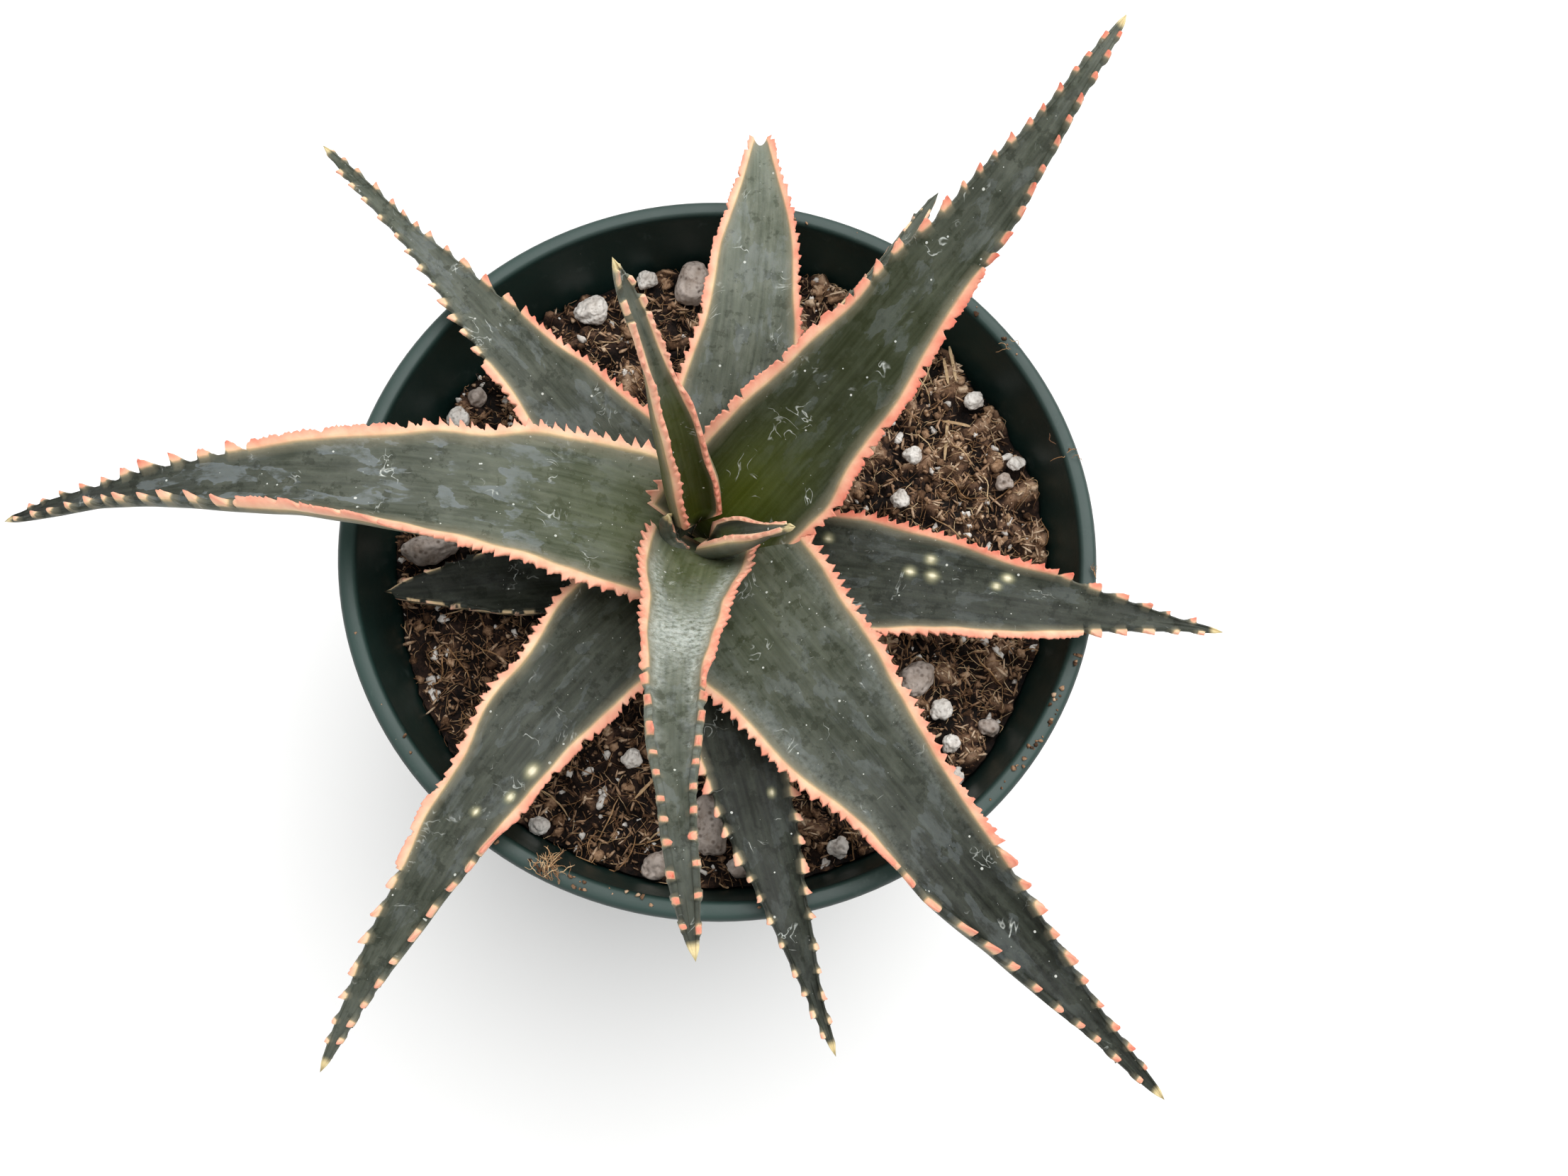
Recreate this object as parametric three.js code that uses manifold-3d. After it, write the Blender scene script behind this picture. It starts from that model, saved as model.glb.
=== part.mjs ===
// A young aloe in a round nursery pot: the pot, its potting soil, a short stem, thirteen leaves
// and the loose perlite and pumice stones on the soil.
// Millimetres. The origin is the centre of the pot's underside, +Z up.
import * as THREE from 'three';
import { mergeVertices } from 'three/addons/utils/BufferGeometryUtils.js';
import Module from 'manifold-3d';

const wasm = await Module();
wasm.setup();

// Pot: the trade's 6 inch size, moulded in one piece.
const POT_HEIGHT = 115;
const RIM_RADIUS = 76;
const RIM_THICKNESS = 3.8;
const RIM_BAND_HEIGHT = 12;
const RIM_BAND_OVERHANG = 0.8;
const EDGE_BEVEL = 0.6;
const WALL_THICKNESS = 1.6;
const FLOOR_THICKNESS = 2.4;
const WALL_TAPER = Math.tan(THREE.MathUtils.degToRad(8));
const POT_SIDES = 64;

// Drain slots: notches through the corner where the pot's wall meets its floor.
const DRAIN_SLOTS = 4;
const DRAIN_SLOT_WIDTH = 10;
const DRAIN_SLOT_HEIGHT = 8;
const DRAIN_SLOT_REACH = 7;

// Soil: it stands a little below the rim and is slightly higher on the right.
const SOIL_LEVEL = POT_HEIGHT - 16;
const SOIL_TILT_X = 0.035;
const SOIL_TILT_Y = 0.015;
const SOIL_LUMP = 1.1;
const SOIL_FOOT_INSET = 12;
const SOIL_FOOT_HEIGHT = 16;
const SOIL_SIDES = 40;
const SOIL_RINGS = [0.88, 0.74, 0.59, 0.42, 0.2, 0];

// Plant: the leaves spring from a short stem that stands a little off the pot's axis.
const STEM_X = -4.5;
const STEM_Y = -1.5;
const STEM_FOOT_RADIUS = 8;
const STEM_TOP_RADIUS = 2;
const STEM_DEPTH = 14;
const STEM_HEIGHT = 16;
const LEAF_ROOT_OFFSET = 4;
const LEAF_STATIONS = 16;
const LEAF_EDGE = 0.8;
const LEAF_TIP_RADIUS = 0.6;
const LEAF_THICKNESS_RATIO = 0.19;
const LEAF_LEAST_THICKNESS = 3.4;
const LEAF_TIP_THINNING = 0.4;
const LEAF_BELLY = 0.75;
const LEAF_ROOT_WIDTH = 0.9;
const LEAF_ROOT_LENGTH = 0.15;
const TOP_SHARES = [1, 0.55, 0, -0.55, -1];
const UNDER_SHARES = [-1, -0.72, -0.3, 0.3, 0.72, 1];

// Gaps between neighbours. The leaves' slanting edges need the wider one.
const GAP = 0.3;
const LEAF_GAP = 0.8;
const STEM_GAP = 0.5;
// Cuts leave slivers this thin, which are smoothed away.
const SLIVER = 0.02;

// The leaves from the heart outwards, so each one lies over those after it.
// heading: the compass direction in degrees at the root and at the tip; slope: the same for the
// angle above level. height: the root above the soil. width: the broadest part. outline: how full
// the leaf's middle is and how fast it draws to the tip. channel: how deep the upper face is
// dished. bank: how far the left edge is rolled up, in degrees. lostTip: what has dried off.
const LEAVES = [
  {
    heading: [-17, -19], slope: [58, 48], length: 22, height: 19,
    width: 6.5, outline: [1.5, 1.3], channel: 0.5, bank: -9,
  },
  {
    heading: [109, 129], slope: [70, 60], length: 61, height: 17,
    width: 11, outline: [1, 0.5], channel: 0.6, bank: 15,
  },
  {
    heading: [-100, -79], slope: [54, 25], length: 99, height: 15,
    width: 24, outline: [1, 1.3], channel: 0.4, bank: -4,
  },
  {
    heading: [40, 55], slope: [40, 16], length: 121, height: 13,
    width: 32, outline: [1.4, 1.35], channel: 0.25, bank: 20,
  },
  {
    heading: [172, 189], slope: [34, -27], length: 135, height: 11,
    width: 36, outline: [1.5, 1.45], channel: 0.2, bank: 8,
  },
  {
    heading: [-58, -47], slope: [28, -8], length: 129, height: 9,
    width: 39.5, outline: [1.4, 1.35], channel: 0.2, bank: 9,
  },
  {
    heading: [74, 93], slope: [30, 2], length: 89, height: 7,
    width: 26, outline: [2.45, 1], channel: 0.18, bank: -2, lostTip: 6,
  },
  {
    heading: [-132, -113], slope: [24, -13], length: 116, height: 6,
    width: 29, outline: [1.4, 1.2], channel: 0.18, bank: -15,
  },
  {
    heading: [-14, -10], slope: [23, 3], length: 100, height: 4,
    width: 29, outline: [1.9, 1.3], channel: 0.15, bank: 3,
  },
  {
    heading: [136, 134], slope: [26, -1], length: 111, height: 3,
    width: 31, outline: [1.4, 1.8], channel: 0.15, bank: -3,
  },
  {
    heading: [-81, -70], slope: [25, 0], length: 98, height: 2,
    width: 29, outline: [1.4, 1.25], channel: 0.15, bank: 0,
  },
  {
    heading: [58, 56], slope: [22, 8], length: 88, height: 1.5,
    width: 17, outline: [1.6, 1.3], channel: 0.15, bank: 0,
  },
  {
    heading: [-168, -174], slope: [12, -1], length: 60, height: 1,
    width: 22, outline: [1.4, 0.95], channel: 0.15, bank: 0,
  },
];

// The stones that lie half sunk in the soil. bearing: the direction from the pot's axis, and
// inset: how far the stone's middle lies in from the pot's wall. size: length, breadth, height.
// turn: the way the length points. Angles in degrees.
const PUMICE = [
  { bearing: 97, inset: 5.5, size: [11, 9, 7], turn: 70 },
  { bearing: 180, inset: 8, size: [13, 6.5, 6], turn: 15 },
  { bearing: -92, inset: 12.5, size: [13, 6.5, 6], turn: 95 },
  { bearing: -100, inset: 4, size: [8, 5.5, 5], turn: 20 },
  { bearing: -86, inset: 4.5, size: [6, 4.5, 4.5], turn: -10 },
  { bearing: -35, inset: 21.5, size: [8, 7, 6], turn: 40 },
  { bearing: -34, inset: 3.5, size: [4.5, 4, 3.5], turn: 0 },
  { bearing: 147, inset: 4.5, size: [5, 4, 3.5], turn: 60 },
  { bearing: -172, inset: 7.5, size: [5, 4, 3.5], turn: -30 },
  { bearing: 15, inset: 7, size: [4, 3.5, 3], turn: 25 },
];
const PERLITE = [
  { bearing: 118, inset: 5, size: [8, 7, 5.5], turn: 30 },
  { bearing: 153, inset: 4.5, size: [5.5, 4.5, 4], turn: 80 },
  { bearing: 106, inset: 3, size: [5, 4, 4], turn: 10 },
  { bearing: -37, inset: 13.5, size: [5, 4.5, 4], turn: 15 },
  { bearing: -41, inset: 8, size: [4.5, 4, 3.5], turn: 50 },
  { bearing: -45, inset: 3, size: [4, 3.5, 3.5], turn: -20 },
  { bearing: -112, inset: 22.5, size: [4.5, 4, 3.5], turn: 35 },
  { bearing: -122, inset: 2.5, size: [4.5, 3.5, 3.5], turn: 0 },
  { bearing: -69, inset: 4, size: [4.5, 4, 3.5], turn: 65 },
  { bearing: 18, inset: 30, size: [4.5, 4, 3.5], turn: 20 },
  { bearing: 29, inset: 23, size: [5, 4.5, 4], turn: -40 },
  { bearing: 18, inset: 3.5, size: [4, 3.5, 3], turn: 10 },
  { bearing: 33, inset: 4.5, size: [4.5, 4, 3.5], turn: 45 },
];
const STONE_SUNK = 0.36;
const STONE_LUMP = 0.09;

const { degToRad, lerp } = THREE.MathUtils;

function solidOf(geometry) {
  const bare = geometry.clone();
  bare.deleteAttribute('normal');
  bare.deleteAttribute('uv');
  const merged = mergeVertices(bare, SLIVER / 2);
  return new wasm.Manifold(new wasm.Mesh({
    numProp: 3,
    vertProperties: new Float32Array(merged.attributes.position.array),
    triVerts: new Uint32Array(merged.index.array),
  }));
}

// The biggest piece is the part itself: slivers and crumbs that a cut leaves are dropped.
function biggestPiece(solid) {
  return solid.decompose().reduce((best, piece) => (piece.volume() > best.volume() ? piece : best));
}

function geometryOf(solid) {
  const { vertProperties, triVerts } = solid.getMesh();
  const geometry = new THREE.BufferGeometry();
  geometry.setAttribute('position', new THREE.BufferAttribute(new Float32Array(vertProperties), 3));
  geometry.setIndex(new THREE.BufferAttribute(new Uint32Array(triVerts), 1));
  return geometry;
}

function meshOf(name, solid, material) {
  const smoothed = biggestPiece(solid.asOriginal().simplify(SLIVER));
  const geometry = geometryOf(biggestPiece(solidOf(geometryOf(smoothed))));
  geometry.computeVertexNormals();
  const mesh = new THREE.Mesh(geometry, material);
  mesh.name = name;
  return mesh;
}

function latheUpright(outline, sides) {
  const points = outline.map(([radius, height]) => new THREE.Vector2(radius, height));
  return new THREE.LatheGeometry(points, sides).rotateX(Math.PI / 2);
}

// The inside of the pot's wall at a height.
function wallRadius(height) {
  return RIM_RADIUS - RIM_THICKNESS - (POT_HEIGHT - height) * WALL_TAPER;
}

function soilHeight(x, y) {
  const lumps = Math.sin(x / 9 + 0.5) * Math.cos(y / 11 - 0.4) + 0.7 * Math.sin((x + y) / 6);
  return SOIL_LEVEL + SOIL_TILT_X * x + SOIL_TILT_Y * y + SOIL_LUMP * lumps;
}

function makePot() {
  const bandFoot = POT_HEIGHT - RIM_BAND_HEIGHT;
  const outside = (height) => wallRadius(height) + WALL_THICKNESS;
  const shell = solidOf(latheUpright([
    [0, 0],
    [outside(0) - EDGE_BEVEL, 0],
    [outside(0), EDGE_BEVEL],
    [outside(bandFoot - RIM_THICKNESS / 2), bandFoot - RIM_THICKNESS / 2],
    [RIM_RADIUS - RIM_BAND_OVERHANG, bandFoot],
    [RIM_RADIUS, POT_HEIGHT - EDGE_BEVEL],
    [RIM_RADIUS - EDGE_BEVEL, POT_HEIGHT],
    [wallRadius(POT_HEIGHT) + EDGE_BEVEL, POT_HEIGHT],
    [wallRadius(POT_HEIGHT - EDGE_BEVEL), POT_HEIGHT - EDGE_BEVEL],
    [wallRadius(FLOOR_THICKNESS), FLOOR_THICKNESS],
    [0, FLOOR_THICKNESS],
  ], POT_SIDES));
  const slots = Array.from({ length: DRAIN_SLOTS }, (_, index) => {
    const slot = new THREE.BoxGeometry(2 * DRAIN_SLOT_REACH, DRAIN_SLOT_WIDTH, 2 * DRAIN_SLOT_HEIGHT);
    slot.translate(outside(0), 0, 0);
    return solidOf(slot.rotateZ((index * 2 * Math.PI) / DRAIN_SLOTS));
  });
  return slots.reduce((pot, slot) => pot.subtract(slot), shell);
}

function makeStem(grow) {
  const foot = SOIL_LEVEL - STEM_DEPTH - grow;
  const top = SOIL_LEVEL + STEM_HEIGHT + grow;
  const stem = latheUpright([
    [0, foot],
    [STEM_FOOT_RADIUS + grow, foot],
    [STEM_TOP_RADIUS + grow, top],
    [0, top],
  ], 16);
  return solidOf(stem.translate(STEM_X, STEM_Y, 0));
}

// The leaf's direction, its left-hand side and its upper side, a part t of the way to the tip.
function leafAxes(leaf, t) {
  const heading = degToRad(lerp(...leaf.heading, t));
  const slope = degToRad(lerp(...leaf.slope, t));
  const along = new THREE.Vector3(
    Math.cos(heading) * Math.cos(slope),
    Math.sin(heading) * Math.cos(slope),
    Math.sin(slope),
  );
  const side = new THREE.Vector3(-Math.sin(heading), Math.cos(heading), 0);
  side.applyAxisAngle(along, degToRad(leaf.bank));
  return { along, side, up: along.clone().cross(side) };
}

// The stations along a leaf: each has its place on the spine, its axes, half width and thickness.
function leafStations(leaf) {
  const heading = degToRad(leaf.heading[0]);
  const spine = new THREE.Vector3(STEM_X, STEM_Y, SOIL_LEVEL + leaf.height);
  spine.x += LEAF_ROOT_OFFSET * Math.cos(heading);
  spine.y += LEAF_ROOT_OFFSET * Math.sin(heading);
  const [fullness, taper] = leaf.outline;
  const fullThickness = Math.max(LEAF_LEAST_THICKNESS, leaf.width * LEAF_THICKNESS_RATIO);
  const stations = [];
  for (let station = 0; station <= LEAF_STATIONS; station += 1) {
    const t = station / LEAF_STATIONS;
    const rootShare = lerp(LEAF_ROOT_WIDTH, 1, Math.min(1, t / LEAF_ROOT_LENGTH));
    const share = rootShare * (1 - t ** fullness) ** taper;
    const half = Math.max(LEAF_TIP_RADIUS, (share * leaf.width) / 2);
    const thickness = fullThickness * Math.sqrt((2 * half) / leaf.width) * (1 - LEAF_TIP_THINNING * t);
    stations.push({ spine: spine.clone(), ...leafAxes(leaf, t), half, thickness });
    const onwards = leafAxes(leaf, t + 0.5 / LEAF_STATIONS).along;
    spine.addScaledVector(onwards, leaf.length / LEAF_STATIONS);
  }
  return stations;
}

// A leaf's crescent section, across and up: its top from left to right, then its underside.
function leafSection(leaf, { half, thickness }, grow) {
  const place = (share, depth) => new THREE.Vector2(
    share * (half + grow),
    leaf.channel * half * share * share + depth,
  );
  const edge = LEAF_EDGE / 2 + grow;
  return [
    ...TOP_SHARES.map((share) => place(share, edge)),
    ...UNDER_SHARES.map((share) => (
      place(share, -edge - thickness * (1 - share * share) ** LEAF_BELLY)
    )),
  ];
}

// One leaf: crescent sections set along its spine, grown all round by a margin.
function makeLeaf(leaf, grow) {
  const stations = leafStations(leaf);
  const sections = stations.map((station) => leafSection(leaf, station, grow));
  const positions = [];
  stations.forEach(({ spine, along, side, up }, station) => {
    const endGrow = grow * (Number(station === LEAF_STATIONS) - Number(station === 0));
    sections[station].forEach(({ x, y }) => {
      const point = spine.clone()
        .addScaledVector(side, x)
        .addScaledVector(up, y)
        .addScaledVector(along, endGrow);
      positions.push(point.x, point.y, point.z);
    });
  });

  const corners = sections[0].length;
  const index = [];
  for (let here = 0; here < LEAF_STATIONS * corners; here += corners) {
    const there = here + corners;
    for (let corner = 0; corner < corners; corner += 1) {
      const next = (corner + 1) % corners;
      index.push(here + corner, here + next, there + next);
      index.push(here + corner, there + next, there + corner);
    }
  }
  const last = LEAF_STATIONS * corners;
  THREE.ShapeUtils.triangulateShape(sections[0], []).forEach(([a, b, c]) => index.push(a, c, b));
  THREE.ShapeUtils.triangulateShape(sections[LEAF_STATIONS], []).forEach(([a, b, c]) => {
    index.push(last + a, last + b, last + c);
  });
  const geometry = new THREE.BufferGeometry();
  geometry.setAttribute('position', new THREE.Float32BufferAttribute(positions, 3));
  geometry.setIndex(index);
  return solidOf(geometry);
}

// The round bite that a dried and broken tip leaves at the leaf's end.
function makeBite(leaf) {
  const tip = leafStations(leaf)[LEAF_STATIONS].spine;
  const bite = new THREE.SphereGeometry(leaf.lostTip, 12, 8);
  return solidOf(bite.translate(...tip.toArray()));
}

// An uneven rounded stone. It is grown by a margin when it is used to cut its own hollow.
function makeStone(stone, index, grow) {
  const geometry = new THREE.IcosahedronGeometry(1, 1);
  const position = geometry.attributes.position;
  const point = new THREE.Vector3();
  for (let corner = 0; corner < position.count; corner += 1) {
    point.fromBufferAttribute(position, corner);
    const lump = Math.sin(5 * point.x + 2 * index) + Math.sin(4 * point.y + 3 * point.z - index);
    point.multiplyScalar(1 + STONE_LUMP * lump);
    position.setXYZ(corner, point.x, point.y, point.z);
  }
  const [length, breadth, height] = stone.size;
  geometry.scale(length / 2 + grow, breadth / 2 + grow, height / 2 + grow);
  geometry.rotateZ(degToRad(stone.turn));
  const radius = wallRadius(SOIL_LEVEL) - stone.inset;
  const x = radius * Math.cos(degToRad(stone.bearing));
  const y = radius * Math.sin(degToRad(stone.bearing));
  const z = soilHeight(x, y) + (0.5 - STONE_SUNK) * height;
  return solidOf(geometry.translate(x, y, z));
}

// The soil fills the pot. Its top is lumpy, and its lower edge falls short of the drain slots.
function makeSoil() {
  const foot = FLOOR_THICKNESS + GAP;
  const reach = wallRadius(SOIL_LEVEL) - GAP;
  const geometry = latheUpright([
    [0, foot],
    [wallRadius(foot) - SOIL_FOOT_INSET, foot],
    [wallRadius(SOIL_FOOT_HEIGHT) - GAP, SOIL_FOOT_HEIGHT],
    [reach, SOIL_LEVEL],
    ...SOIL_RINGS.map((share) => [share * reach, SOIL_LEVEL]),
  ], SOIL_SIDES);
  const position = geometry.attributes.position;
  for (let corner = 0; corner < position.count; corner += 1) {
    if (position.getZ(corner) < SOIL_LEVEL - 1) continue;
    const x = position.getX(corner);
    const y = position.getY(corner);
    const height = soilHeight(x, y);
    const radius = Math.hypot(x, y);
    const edge = wallRadius(height) - 2 * GAP;
    const shrink = radius > edge ? edge / radius : 1;
    position.setXYZ(corner, x * shrink, y * shrink, height);
  }
  return solidOf(geometry);
}

const finish = (color, roughness) => new THREE.MeshStandardMaterial({ color, roughness, metalness: 0 });
const potPlastic = finish('#33463f', 0.45);
const pottingSoil = finish('#2f1e15', 0.95);
const stemFlesh = finish('#6f7a45', 0.6);
const leafSkin = finish('#46524a', 0.5);
const pumiceStone = finish('#a3958a', 0.9);
const perliteStone = finish('#ece7e0', 0.9);

const plant = new THREE.Group();
plant.add(meshOf('pot', makePot(), potPlastic));
plant.add(meshOf('stem', makeStem(0), stemFlesh));

// Each leaf gives way to the stem and to the younger leaves that lie over it.
let taken = makeStem(STEM_GAP);
LEAVES.forEach((leaf, index) => {
  let solid = makeLeaf(leaf, 0).subtract(taken);
  if (leaf.lostTip) solid = solid.subtract(makeBite(leaf));
  plant.add(meshOf(`leaf_${String(index + 1).padStart(2, '0')}`, solid, leafSkin.clone()));
  taken = taken.add(makeLeaf(leaf, LEAF_GAP));
});

// Each stone lies in its own hollow in the soil.
let soil = makeSoil().subtract(taken);
for (const [kind, stones, material] of [
  ['pumice', PUMICE, pumiceStone],
  ['perlite', PERLITE, perliteStone],
]) {
  stones.forEach((stone, index) => {
    const name = `${kind}_${String(index + 1).padStart(2, '0')}`;
    plant.add(meshOf(name, makeStone(stone, index, 0), material.clone()));
    soil = soil.subtract(makeStone(stone, index, GAP));
  });
}
plant.add(meshOf('soil', soil, pottingSoil));

export default plant;
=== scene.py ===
"""A young aloe in a round nursery pot: thirteen toothed leaves, potting soil, stones and the pot.

Metres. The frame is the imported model's: the origin is the centre of the pot's underside, +Z up.
Sizes are written in millimetres and turned to metres by MM.
"""
import math
import random

import bpy
import numpy as np
from mathutils import Matrix, Vector, noise


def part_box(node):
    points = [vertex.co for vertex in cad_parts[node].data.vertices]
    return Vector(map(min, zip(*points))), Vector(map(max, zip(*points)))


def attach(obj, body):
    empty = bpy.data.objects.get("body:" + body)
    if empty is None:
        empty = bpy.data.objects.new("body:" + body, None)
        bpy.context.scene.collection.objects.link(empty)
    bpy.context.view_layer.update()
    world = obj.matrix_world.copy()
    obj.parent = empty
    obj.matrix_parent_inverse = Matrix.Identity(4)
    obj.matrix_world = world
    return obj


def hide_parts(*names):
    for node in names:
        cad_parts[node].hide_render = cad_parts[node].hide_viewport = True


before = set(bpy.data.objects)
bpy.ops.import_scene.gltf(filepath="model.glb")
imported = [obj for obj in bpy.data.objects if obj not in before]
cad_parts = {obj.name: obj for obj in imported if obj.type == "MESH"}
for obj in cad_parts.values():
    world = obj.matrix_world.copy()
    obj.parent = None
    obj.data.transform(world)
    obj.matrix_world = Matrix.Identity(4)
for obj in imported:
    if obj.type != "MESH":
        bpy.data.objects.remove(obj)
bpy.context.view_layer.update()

MM = 0.001

# ---------------------------------------------------------------- measures, from the frame
POT_LOW, POT_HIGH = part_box("pot")
POT_HEIGHT = POT_HIGH.z / MM
RIM_RADIUS = POT_HIGH.x / MM
RIM_THICKNESS = 3.8
RIM_BAND_HEIGHT = 12.0
RIM_BAND_OVERHANG = 0.8
WALL_THICKNESS = 1.6
FLOOR_THICKNESS = 2.4
WALL_TAPER = math.tan(math.radians(8))
DRAIN_SLOTS = 4
DRAIN_SLOT_WIDTH = 10.0
DRAIN_SLOT_HEIGHT = 8.0
DRAIN_SLOT_REACH = 7.0

SOIL_LEVEL = POT_HEIGHT - 16.0
SOIL_TILT_X = 0.035
SOIL_TILT_Y = 0.015
SOIL_LUMP = 1.1
SOIL_FOOT_INSET = 12.0
SOIL_FOOT_HEIGHT = 16.0
SOIL_GAP = 0.3  # between the soil and the pot's floor
WALL_GAP = 0.35  # between the soil and the pot's wall, whose sides are flat in the frame

STEM_X, STEM_Y = -4.5, -1.5
STEM_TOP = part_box("stem")[1].z / MM - 5.0  # the heart's leaves cover the rest
STEM_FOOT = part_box("stem")[0].z / MM
STEM_FOOT_RADIUS = 7.6
STEM_TOP_RADIUS = 2.2
STEM_RINGS = 14
LEAF_ROOT_OFFSET = 4.0
LEAF_THICKNESS_RATIO = 0.19
LEAF_LEAST_THICKNESS = 3.4
LEAF_TIP_THINNING = 0.4
LEAF_BELLY = 0.75
LEAF_ROOT_WIDTH = 0.9
LEAF_ROOT_LENGTH = 0.15

STATION_STEP = 0.36  # mm between the rows of a leaf's mesh
FACE_COLUMNS = 11  # from the middle of a leaf's face out to the margin
BAND_COLUMNS = 7  # across one margin
BELLY_COLUMNS = 8  # from the middle of the underside out to the margin
ACROSS, UP, ON, PAINT, ROUND = range(5)  # what a leaf's flat strips say at each of their points
CURVE_STEPS = 32  # in a leaf's half section
CURVE_SHARES = np.linspace(0, 1, CURVE_STEPS + 1)
LEAST_HALF_WIDTH = 0.3
MARGIN_THICKNESS = 1.25
STEEP_FOLD = 60  # degrees, past which a leaf's side is rolled up rather than dished
ROOT_POINT = 1.5  # how far the closed root and tip reach past the last open row
TIP_POINT = 1.2
LEAF_PATTERN_STEP = 60.0
UNDER_PATTERN_STEP = 30.0

STONE_NODES = sorted(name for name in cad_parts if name.startswith(("pumice", "perlite")))
STONE_BOXES = [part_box(name) for name in STONE_NODES]


def wall_radius(height):
    """The inside of the pot's wall at a height, in mm."""
    return RIM_RADIUS - RIM_THICKNESS - (POT_HEIGHT - height) * WALL_TAPER


def soil_height(x, y):
    """The top of the soil at a place, in mm."""
    lumps = np.sin(x / 9 + 0.5) * np.cos(y / 11 - 0.4) + 0.7 * np.sin((x + y) / 6)
    return SOIL_LEVEL + SOIL_TILT_X * x + SOIL_TILT_Y * y + SOIL_LUMP * lumps


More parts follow.
